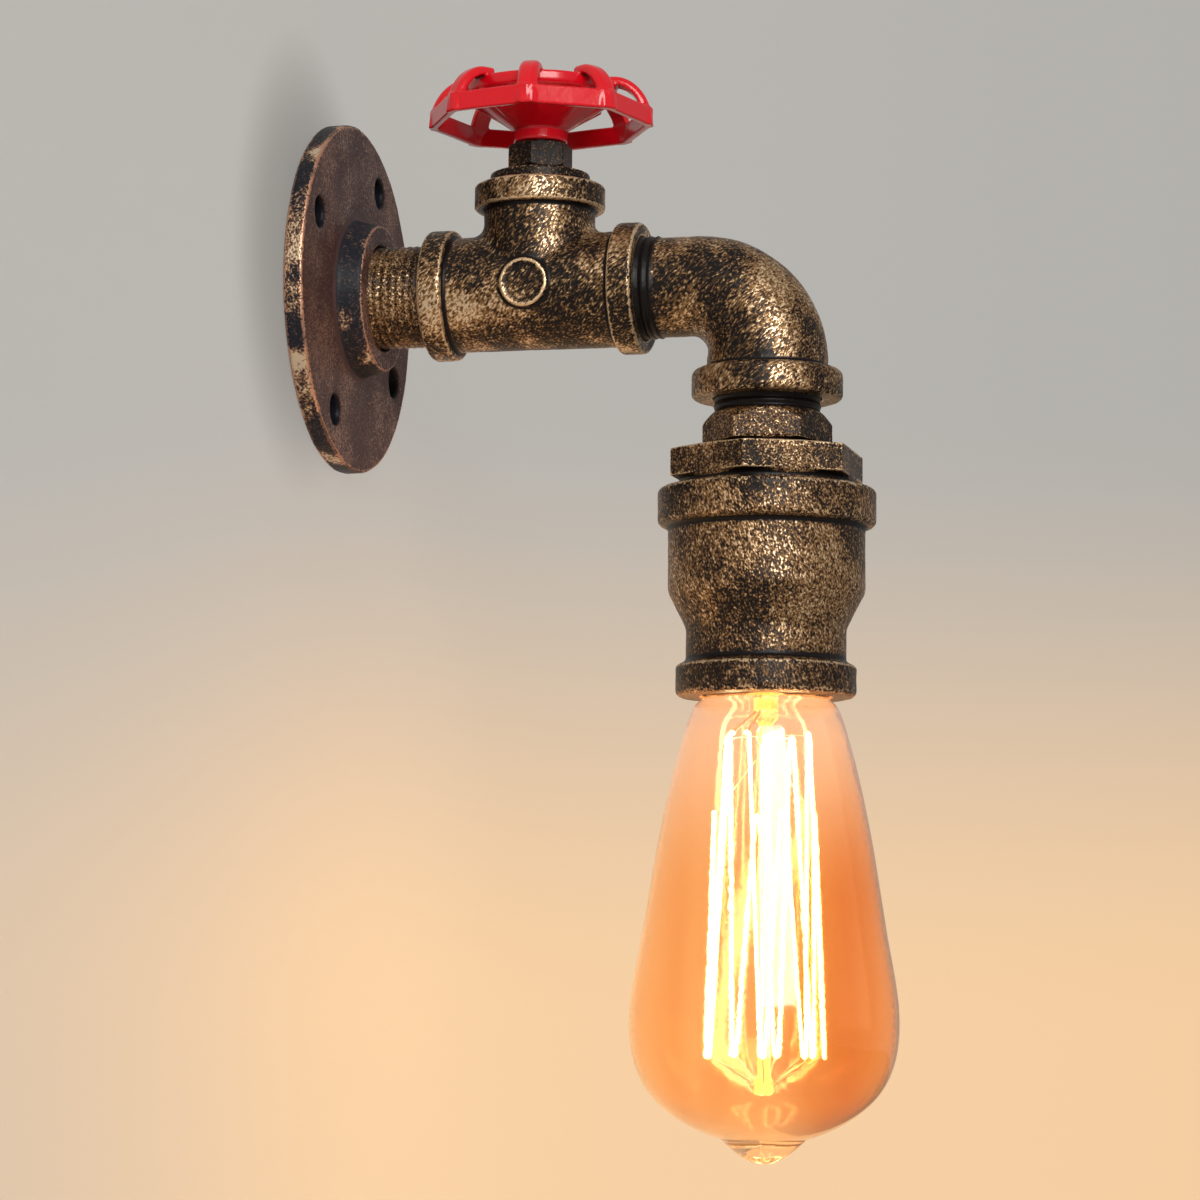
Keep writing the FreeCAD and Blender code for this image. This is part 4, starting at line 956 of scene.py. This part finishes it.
@dataclass
class Casting:
    """One cast or forged piece: the CAD shape with softened edges and a cast skin."""

    node: str
    body: str
    slot: str
    finish: str
    voxel: float = 0.42 * MM
    fairing: int = 3
    skin_depth: float = 0.09 * MM
    skin_scale: float = 420.0
    wave_depth: float = 0.16 * MM
    wave_scale: float = 90.0
    melting: int = 0
    ridge_size: float = 0.10 * MM
    hollow_size: float = 0.22 * MM

    def make(self, finishes: Finishes) -> None:
        """Build the piece, dress it and put it on its body.

        Args:
            finishes: the materials.
        """
        mesh = frame["nodes"][self.node].data.copy()
        merge_doubles(mesh)
        piece = new_piece(self.node + "_cast", mesh)
        remesh = piece.modifiers.new("even_skin", "REMESH")
        remesh.mode = "VOXEL"
        remesh.voxel_size = self.voxel
        remesh.use_smooth_shade = True
        bake(piece)
        surface = Surface(piece.data)
        surface.fair(self.fairing)
        surface.melt(self.melting)
        surface.mark_wear(self.ridge_size, self.hollow_size)
        self.roughen(piece)
        self.hold_in_box(piece)
        dress(piece, finishes.of(self.finish))
        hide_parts(self.node)
        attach(piece, self.body)
        log.info("%s: %d faces", piece.name, len(piece.data.polygons))

    def roughen(self, piece: bpy.types.Object) -> None:
        """Push the skin in and out by two noises, with geometry nodes.

        Args:
            piece: the piece, whose mesh is already even.
        """
        modifier = piece.modifiers.new("cast_skin", "NODES")
        modifier.node_group = cast_skin_tree()
        set_inputs(modifier, {
            "Skin Depth": self.skin_depth,
            "Skin Scale": self.skin_scale,
            "Wave Depth": self.wave_depth,
            "Wave Scale": self.wave_scale,
        })
        bake(piece)

    def hold_in_box(self, piece: bpy.types.Object) -> None:
        """Keep the skin inside the CAD shape's own box.

        Args:
            piece: the roughened piece.
        """
        low, high = (np.array(corner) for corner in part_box(self.node))
        points = np.empty(len(piece.data.vertices) * 3)
        piece.data.vertices.foreach_get("co", points)
        points = np.clip(points.reshape(-1, 3), low, high)
        piece.data.vertices.foreach_set("co", points.ravel())
        piece.data.update()


def merge_doubles(mesh: bpy.types.Mesh) -> None:
    """Weld the loose triangles of a copied mesh.

    Args:
        mesh: a copy of a CAD node's mesh.
    """
    work = bmesh.new()
    work.from_mesh(mesh)
    bmesh.ops.remove_doubles(work, verts=work.verts, dist=WELD_DISTANCE)
    work.to_mesh(mesh)
    work.free()
    mesh.update()


def set_inputs(modifier: bpy.types.Modifier, values: dict) -> None:
    """Set a geometry nodes modifier's inputs by their names.

    Args:
        modifier: the modifier.
        values: numbers, objects or materials by input name.
    """
    for item in modifier.node_group.interface.items_tree:
        if item.item_type == "SOCKET" and item.in_out == "INPUT" and item.name in values:
            modifier[item.identifier] = values[item.name]


class Tree(NodeMaker):
    """A geometry node tree with named inputs."""

    def __init__(self, name: str, inputs: dict) -> None:
        """Start a tree.

        Args:
            name: its name.
            inputs: default number by input name, or None for a material.
        """
        super().__init__(bpy.data.node_groups.new(name, "GeometryNodeTree"))
        interface = self.tree.interface
        interface.new_socket("Geometry", in_out="INPUT", socket_type="NodeSocketGeometry")
        interface.new_socket("Geometry", in_out="OUTPUT", socket_type="NodeSocketGeometry")
        kinds = {int: "NodeSocketInt", float: "NodeSocketFloat", type(None): "NodeSocketMaterial"}
        for title, default in inputs.items():
            socket = interface.new_socket(title, in_out="INPUT", socket_type=kinds[type(default)])
            if default is not None:
                socket.default_value = default
        self.given = self.node("NodeGroupInput")
        self.result = self.node("NodeGroupOutput")

    def input(self, title: str) -> Socket:
        """One of the tree's inputs."""
        return self.given.outputs[title]

    def number(self, title: str) -> Value:
        """One of the tree's inputs, for maths."""
        return Value(self, self.input(title))

    def vector(self, x: object, y: object, z: object) -> Socket:
        """A vector from three numbers."""
        return self.output("ShaderNodeCombineXYZ", {0: x, 1: y, 2: z})

    def index(self) -> Value:
        """The number of each point."""
        return Value(self, self.output("GeometryNodeInputIndex"))

    def points(self, count: object) -> Socket:
        """A line of points, all to be put in place."""
        return self.output("GeometryNodeMeshLine", {"Count": count})

    def put(self, points: Socket, place: Socket) -> Socket:
        """The points, each in its place."""
        return self.output("GeometryNodeSetPosition", {"Geometry": points, "Position": place})

    def circle(self, corners: int, size: str) -> Socket:
        """A circle whose radius is one of the tree's inputs."""
        inputs = {"Resolution": corners, "Radius": self.input(size)}
        return self.output("GeometryNodeCurvePrimitiveCircle", inputs)

    def swept(self, path: Socket, profile: Socket, caps: bool) -> Socket:
        """A profile swept along a path."""
        inputs = {"Curve": path, "Profile Curve": profile, "Fill Caps": caps}
        return self.output("GeometryNodeCurveToMesh", inputs)

    def finish(self, geometry: Socket, material: Socket | None = None) -> None:
        """Realize the instances, set the material and end the tree.

        Args:
            geometry: what the tree made.
            material: the material input, if the tree sets one.
        """
        real = self.output("GeometryNodeRealizeInstances", {"Geometry": geometry})
        if material is not None:
            real = self.output("GeometryNodeSetMaterial", {"Geometry": real, "Material": material})
        self.tree.links.new(real, self.result.inputs[0])


def cast_skin_tree() -> bpy.types.NodeTree:
    """The tree that pushes a skin in and out along its normals.

    Returns:
        The node tree, made once.
    """
    name = "cast_skin"
    if name in bpy.data.node_groups:
        return bpy.data.node_groups[name]
    tree = Tree(name, {"Skin Depth": 0.0001, "Skin Scale": 400.0, "Wave Depth": 0.0002, "Wave Scale": 90.0})
    skin = tree.output("ShaderNodeTexNoise", {"Scale": tree.input("Skin Scale"), "Detail": 2.0})
    wave = tree.output("ShaderNodeTexNoise", {"Scale": tree.input("Wave Scale"), "Detail": 1.0})
    fine = (Value(tree, skin) - 0.5) * tree.number("Skin Depth")
    broad = (Value(tree, wave) - 0.5) * tree.number("Wave Depth")
    normal = tree.output("GeometryNodeInputNormal")
    push = tree.output("ShaderNodeVectorMath", {0: normal, "Scale": (fine + broad) * 2.0}, operation="SCALE")
    inputs = {"Geometry": tree.input("Geometry"), "Offset": push}
    tree.finish(tree.output("GeometryNodeSetPosition", inputs))
    return tree.tree


@dataclass
class PipeRun:
    """The fittings that make the arm and the head."""

    wide_voxel: float = 0.46 * MM
    flange_voxel: float = 0.45 * MM
    bushing_voxel: float = 0.40 * MM
    hexagon_voxel: float = 0.34 * MM
    thread_voxel: float = 0.30 * MM
    nut_voxel: float = 0.20 * MM

    def pieces(self) -> list[Casting]:
        """List the castings, from the wall outwards.

        Returns:
            The castings.
        """
        return [
            Casting("wall_flange", "fixture", "cast_bronze", "flange", self.flange_voxel),
            Casting("tee_body", "fixture", "cast_bronze", "tee"),
            Casting("street_elbow", "head", "cast_bronze", "elbow"),
            Casting("hex_nipple", "head", "dark_thread", "hexagon", self.hexagon_voxel),
            Casting("hex_bushing", "head", "cast_bronze", "bushing", self.bushing_voxel),
            Casting("reducing_socket", "head", "cast_bronze", "socket", self.wide_voxel),
            Casting("arm_nipple", "fixture", "dark_thread", "nipple", self.thread_voxel,
                    fairing=1, melting=5, skin_depth=0.06 * MM, wave_depth=0.12 * MM),
            Casting("branch_plug", "fixture", "dark_thread", "thread", self.thread_voxel),
            Casting("gland_nut", "fixture", "dark_thread", "thread", self.nut_voxel,
                    fairing=2, skin_depth=0.03 * MM, wave_depth=0.03 * MM),
        ]

    def make(self, finishes: Finishes) -> None:
        """Build every fitting."""
        for casting in self.pieces():
            casting.make(finishes)


@dataclass
class Handwheel:
    """The red valve wheel: the cast shape, rounded by its paint."""

    voxel: float = 0.32 * MM
    fairing: int = 4
    skin_depth: float = 0.02 * MM
    skin_scale: float = 300.0
    wave_depth: float = 0.10 * MM
    wave_scale: float = 70.0

    def make(self, finishes: Finishes) -> None:
        """Build the wheel from the sizes above."""
        Casting("handwheel", "wheel", "red_paint", "red_paint", **vars(self)).make(finishes)


@dataclass
class FilamentCage:
    """The carbon filament, strung in loops round the stem, and the fine wires that hold the loops."""

    strands: int = 16
    positions: int = 17
    phase: float = math.radians(169.5)
    top_radius: float = 11.4 * MM
    bottom_radius: float = 14.3 * MM
    top_depth: float = 9.5 * MM
    tier_depth: float = 28.0 * MM
    tier_radius: float = 12.1 * MM
    clip_depth: float = 15.0 * MM
    bottom_depth: float = 84.6 * MM
    loop_half: float = 0.55 * MM
    loop_rise: float = 0.45 * MM
    thread: float = 0.46 * MM
    wire: float = 0.15 * MM
    eye: float = 0.42 * MM
    root: float = 2.35 * MM
    collar_depth: float = 9.2 * MM
    button_depth: float = 91.8 * MM

    def sizes(self) -> dict:
        """Values of both trees' inputs: the two counts worked out, and every size under its field's name.

        Returns:
            The values by name, with heights for the depths under the mouth.
        """
        given = {"Corners": self.strands + 1, "Step": 2 * math.pi / self.positions, "Axis": HEAD_AXIS_Y}
        for field in fields(self):
            title, size = field.name.replace("_", " ").title(), getattr(self, field.name)
            if isinstance(size, float):
                given[title.replace("Depth", "Height")] = MOUTH_Z - size if "Depth" in title else size
        return given

    def corner(self, tree: Tree, number: Value, part: object, radius: object, height: object) -> Socket:
        """Place of a point of one loop.

        Args:
            tree: the geometry node tree.
            number: the loop's number, from the first top one.
            part: how far along the loop, minus one to one.
            radius: distance from the bulb's axis.
            height: height.

        Returns:
            The vector socket.
        """
        angle = tree.number("Phase") + number * tree.number("Step")
        along = tree.number("Loop Half") * part
        x = radius * angle.cosine() - along * angle.sine()
        y = radius * angle.sine() + along * angle.cosine() + tree.number("Axis")
        return tree.vector(x, y, height)

    def between(self, tree: Tree, number: Value, top: str, tier: str, bottom: str) -> Value:
        """A size that differs among the top loops, every second of which hangs lower, and the bottom ones.

        Args:
            tree: the geometry node tree.
            number: the loop's number; the odd ones are at the bottom.
            top: input name of the top loops' size.
            tier: input name of the lower top loops' size.
            bottom: input name of the bottom loops' size.

        Returns:
            The size.
        """
        low = number % 2.0
        hung = 1.0 - abs(number % 4.0 - 2.0).minimum(1.0)
        high = tree.number(top) * (1.0 - hung) + tree.number(tier) * hung
        return high * (1.0 - low) + tree.number(bottom) * low

    def thread_tree(self) -> bpy.types.NodeTree:
        """The tree of the filament itself, one thread up and down through every loop.

        Returns:
            The node tree.
        """
        tree = Tree("filament_thread", {**self.sizes(), "Material": None})
        index = tree.index()
        number = (index / 3.0).floor()
        part = index - number * 3.0 - 1.0
        rise = (1.0 - abs(part)) * (1.0 - number % 2.0 * 2.0) * tree.number("Loop Rise")
        radius = self.between(tree, number, "Top Radius", "Tier Radius", "Bottom Radius")
        height = self.between(tree, number, "Top Height", "Tier Height", "Bottom Height") + rise
        place = self.corner(tree, number, part, radius, height)
        strung = tree.put(tree.points(tree.number("Corners") * 3.0), place)
        path = tree.output("GeometryNodeMeshToCurve", {"Mesh": strung})
        tree.finish(tree.swept(path, tree.circle(8, "Thread"), True), tree.input("Material"))
        return tree.tree

    def wires_tree(self) -> bpy.types.NodeTree:
        """The tree of the holding wires: one straight wire and one eye for each loop.

        Returns:
            The node tree.
        """
        tree = Tree("filament_wires", {**self.sizes(), "Material": None})
        number = tree.index() + 1.0
        radius = self.between(tree, number, "Top Radius", "Tier Radius", "Bottom Radius")
        height = self.between(tree, number, "Top Height", "Tier Height", "Bottom Height")
        foot = self.between(tree, number, "Collar Height", "Clip Height", "Button Height")
        start = self.corner(tree, number, 0.0, tree.number("Root"), foot)
        end = self.corner(tree, number, 0.0, radius, height)
        line = tree.points(tree.number("Corners") - 2.0)
        heading = tree.output("ShaderNodeVectorMath", {0: end, 1: start}, operation="SUBTRACT")
        length = tree.node("ShaderNodeVectorMath", {0: heading}, operation="LENGTH").outputs["Value"]
        reach = Value(tree, length) - tree.number("Eye")
        size = {"Vertices": 8, "Radius": tree.input("Wire"), "Depth": 1.0}
        middle = {"Geometry": tree.output("GeometryNodeMeshCylinder", size), "Translation": (0.0, 0.0, 0.5)}
        wires = tree.output("GeometryNodeInstanceOnPoints", {
            "Points": tree.put(line, start),
            "Instance": tree.output("GeometryNodeTransform", middle),
            "Rotation": tree.output("FunctionNodeAlignRotationToVector", {"Vector": heading}, axis="Z"),
            "Scale": tree.vector(1.0, 1.0, reach),
        })
        eye = tree.swept(tree.circle(14, "Eye"), tree.circle(6, "Wire"), False)
        eyes = tree.output("GeometryNodeInstanceOnPoints", {"Points": tree.put(line, end), "Instance": eye})
        joined = tree.node("GeometryNodeJoinGeometry")
        for part in (wires, eyes):
            tree.tree.links.new(part, joined.inputs[0])
        tree.finish(joined.outputs[0], tree.input("Material"))
        return tree.tree

    def make(self, finishes: Finishes) -> None:
        """String the filament and its wires in the bulb.

        Args:
            finishes: the materials.
        """
        for tree, node, finish in ((self.thread_tree(), "filament", "glowing_filament"),
                                   (self.wires_tree(), "filament_supports", "tinned_copper")):
            piece = new_piece(node + "_strung", bpy.data.meshes.new(node))
            modifier = piece.modifiers.new("strung", "NODES")
            modifier.node_group = tree
            set_inputs(modifier, {**self.sizes(), "Material": finishes.of(finish)})
            bake(piece)
            dress(piece, finishes.of(finish))
            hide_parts(node)
            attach(piece, "bulb")
            log.info("%s: %d faces", piece.name, len(piece.data.polygons))


def carried(finishes: Finishes) -> None:
    """Dress the CAD nodes whose shape is already right.

    Args:
        finishes: the materials.
    """
    slots = {entry["node"]: entry["material_slot"] for entry in frame["record"]["subparts"]}
    for name, node in frame["nodes"].items():
        if not node.hide_render:
            dress(node, finishes.of(slots[name]))
            log.info("%s keeps its CAD shape", name)


@dataclass(frozen=True)
class SheetPaint(Finish):
    """Matt pale paint that is seen from the front only."""

    paint: tuple = (0.60, 0.575, 0.545)

    def front(self, graph: Graph) -> Socket:
        """The shader of the front: plain paint here."""
        return graph.output("ShaderNodeBsdfDiffuse", {"Color": self.paint})

    def surface(self, graph: Graph) -> Socket:
        """The front's shader on the front, nothing on the back."""
        back = graph.node("ShaderNodeNewGeometry").outputs["Backfacing"]
        return graph.blend(back, self.front(graph), graph.output("ShaderNodeBsdfTransparent"))


@dataclass(frozen=True)
class WallPaint(SheetPaint):
    """Wall paint, cool grey above and warm below in a fan of painted lamp light, with a painted shadow beside
    the flange, that the camera sees evenly lit.
    """

    cool: tuple = (0.480, 0.468, 0.440)
    # colour of the painted pool of warm lamp light
    warm: tuple = (1.0, 0.670, 0.380)
    evenness: float = 0.88
    # painted shadow of the flange on the wall
    shade_centre: tuple = (-0.028, 0.004)
    shade_reach: tuple = (0.052, 0.060)
    shade_band: tuple = (1.0, 0.08)
    shade_depth: float = 0.42
    fan_foot: tuple = (-1.0, -0.178)
    fan_near: float = 0.75
    fan_band: tuple = (0.155, 0.0)
    fan_rise: tuple = (-0.28, 0.08)
    fan_least: float = 0.5

    def seen(self, graph: Graph) -> Socket:
        """The wall's emitted colour: a painted pool of warm lamp light in a fan, and a painted shadow beside
        the flange.

        Args:
            graph: the material's graph.

        Returns:
            The shader socket.
        """
        across, up = graph.along("X"), graph.along("Z")
        # painted pool of warm lamp light, in a fan below a sloping line
        slope = (up - self.fan_foot[1]) / (across - self.fan_foot[0]).maximum(self.fan_near)
        share = self.fan_least + (1.0 - self.fan_least) * across.step(*self.fan_rise)
        # painted shadow beside the flange, taken off the emission's strength
        beside = (across - self.shade_centre[0]) / self.shade_reach[0]
        above = (up - self.shade_centre[1]) / self.shade_reach[1]
        shade = (beside * beside + above * above).step(*self.shade_band) * self.shade_depth
        colour = graph.mix(slope.step(*self.fan_band) * share, self.cool, self.warm)
        return graph.output("ShaderNodeEmission", {"Color": colour, "Strength": 1.0 - shade})

    def front(self, graph: Graph) -> Socket:
        """Paint, which camera, glossy and transmitted rays see mostly in its emitted colour, painted light
        and shadow included.

        Args:
            graph: the material's graph.

        Returns:
            The shader socket.
        """
        path = graph.node("ShaderNodeLightPath")
        rays = (Value(graph, path.outputs[f"Is {kind} Ray"]) for kind in ("Camera", "Glossy", "Transmission"))
        share = reduce(Value.maximum, rays) * self.evenness
        return graph.blend(share, super().front(graph), self.seen(graph))


@dataclass
class Studio:
    """Wall, floor, lamps and the camera at the photograph's viewpoint."""

    floor_colour: tuple = (0.66, 0.63, 0.58)
    camera_place: tuple = (-0.90561, -0.30433, -0.17799)
    azimuth: float = -75.34
    elevation: float = -6.22
    roll: float = 0.56
    focal_pixels: float = 3897.63
    picture_pixels: float = 1200.0
    sensor: float = 36.0
    wall_gap: float = 0.2 * MM
    wall_sides: tuple = (-3.0, 8.0)
    wall_ends: tuple = (-1.6, 3.0)
    floor_sides: tuple = (-6.0, 8.0)
    floor_ends: tuple = (-6.0, 6.0)
    floor_height: float = -1.5
    room_colour: tuple = (0.95, 0.94, 0.92, 1.0)
    room_light: float = 0.34
    centre: tuple = (0.0, -0.08, -0.05)
    glow_colour: tuple = (1.0, 0.55, 0.2)
    glow_watts: float = 0.4
    glow_radius: float = 14.0 * MM
    glow_depth: float = 50.0 * MM

    def make(self) -> None:
        """Build the surroundings."""
        self.camera()
        self.wall()
        self.floor()
        self.world()
        self.lamps()
        bpy.context.scene.view_settings.view_transform = "Standard"

    def directions(self) -> tuple[Vector, Vector, Vector]:
        """The camera's right, up and back directions, roll included.

        Returns:
            Three unit vectors.
        """
        turn = math.radians(self.azimuth)
        rise = math.radians(self.elevation)
        back = Vector((math.sin(turn) * math.cos(rise), -math.cos(turn) * math.cos(rise), math.sin(rise)))
        right = (-back).cross(Vector((0, 0, 1))).normalized()
        up = right.cross(-back)
        roll = math.radians(self.roll)
        rolled_right = math.cos(roll) * right + math.sin(roll) * up
        rolled_up = math.cos(roll) * up - math.sin(roll) * right
        return rolled_right, rolled_up, back

    def camera(self) -> None:
        """Make the camera and set it."""
        right, up, back = self.directions()
        data = bpy.data.cameras.new("photo_view")
        data.sensor_width = self.sensor
        data.lens = self.focal_pixels * self.sensor / self.picture_pixels
        data.clip_start = 0.05
        data.clip_end = 50.0
        camera = new_piece("photo_view", data)
        camera.matrix_world = Matrix((
            (right.x, up.x, back.x, self.camera_place[0]),
            (right.y, up.y, back.y, self.camera_place[1]),
            (right.z, up.z, back.z, self.camera_place[2]),
            (0.0, 0.0, 0.0, 1.0),
        ))
        bpy.context.scene.camera = camera

    def sheet(self, name: str, corners: list, paint: SheetPaint) -> None:
        """A one sided pale sheet of the set.

        Args:
            name: its name.
            corners: four corners, counter clockwise seen from its front.
            paint: its finish.
        """
        mesh = bpy.data.meshes.new(name)
        mesh.from_pydata(corners, [], [(0, 1, 2, 3)])
        piece = new_piece(name, mesh)
        dress(piece, paint.build())

    def wall(self) -> None:
        """The wall behind the flange."""
        (left, right), (low, high), gap = self.wall_sides, self.wall_ends, self.wall_gap
        corners = [(left, gap, low), (right, gap, low), (right, gap, high), (left, gap, high)]
        self.sheet("wall", corners, WallPaint("wall_paint"))

    def floor(self) -> None:
        """The floor, well below the light."""
        (left, right), (near, far), height = self.floor_sides, self.floor_ends, self.floor_height
        corners = [(left, near, height), (right, near, height), (right, far, height), (left, far, height)]
        self.sheet("floor", corners, SheetPaint("floor_paint", self.floor_colour))

    def world(self) -> None:
        """A plain pale surround."""
        world = bpy.data.worlds.new("pale_room")
        world.use_nodes = True
        background = world.node_tree.nodes["Background"]
        background.inputs["Color"].default_value = self.room_colour
        background.inputs["Strength"].default_value = self.room_light
        bpy.context.scene.world = world

    def lamp(self, name: str, place: tuple, size: float, watts: float, colour: tuple) -> bpy.types.Object:
        """One soft square lamp that faces the light's middle.

        Args:
            name: its name.
            place: where it stands.
            size: its side in metres.
            watts: its power.
            colour: its colour.

        Returns:
            The lamp.
        """
        data = bpy.data.lights.new(name, "AREA")
        data.size = size
        data.energy = watts
        data.color = colour
        lamp = new_piece(name, data)
        lamp.location = place
        heading = Vector(self.centre) - Vector(place)
        lamp.rotation_euler = heading.to_track_quat("-Z", "Y").to_euler()
        return lamp

    def lamps(self) -> None:
        """Key beside the camera, fill from the right and a warm light from the bulb."""
        self.lamp("key", (-2.07, -1.05, 0.85), size=1.3, watts=54.0, colour=(1.0, 0.98, 0.95))
        fill = self.lamp("front_fill", (0.15, -1.6, 0.3), size=1.1, watts=3.5, colour=(1.0, 0.98, 0.96))
        fill.visible_glossy = False
        data = bpy.data.lights.new("bulb_glow", "POINT")
        data.energy = self.glow_watts
        data.color = self.glow_colour
        data.shadow_soft_size = self.glow_radius
        glow = new_piece("bulb_glow", data)
        glow.location = (0.0, HEAD_AXIS_Y, MOUTH_Z - self.glow_depth)
        glow.visible_camera = glow.visible_glossy = glow.visible_transmission = False


def main() -> None:
    """Build the light and its surroundings."""
    logging.basicConfig(level=logging.INFO, format="%(message)s")
    Studio().make()
    finishes = Finishes()
    PipeRun().make(finishes)
    Handwheel().make(finishes)
    FilamentCage().make(finishes)
    carried(finishes)


if __name__ == "__main__":
    main()
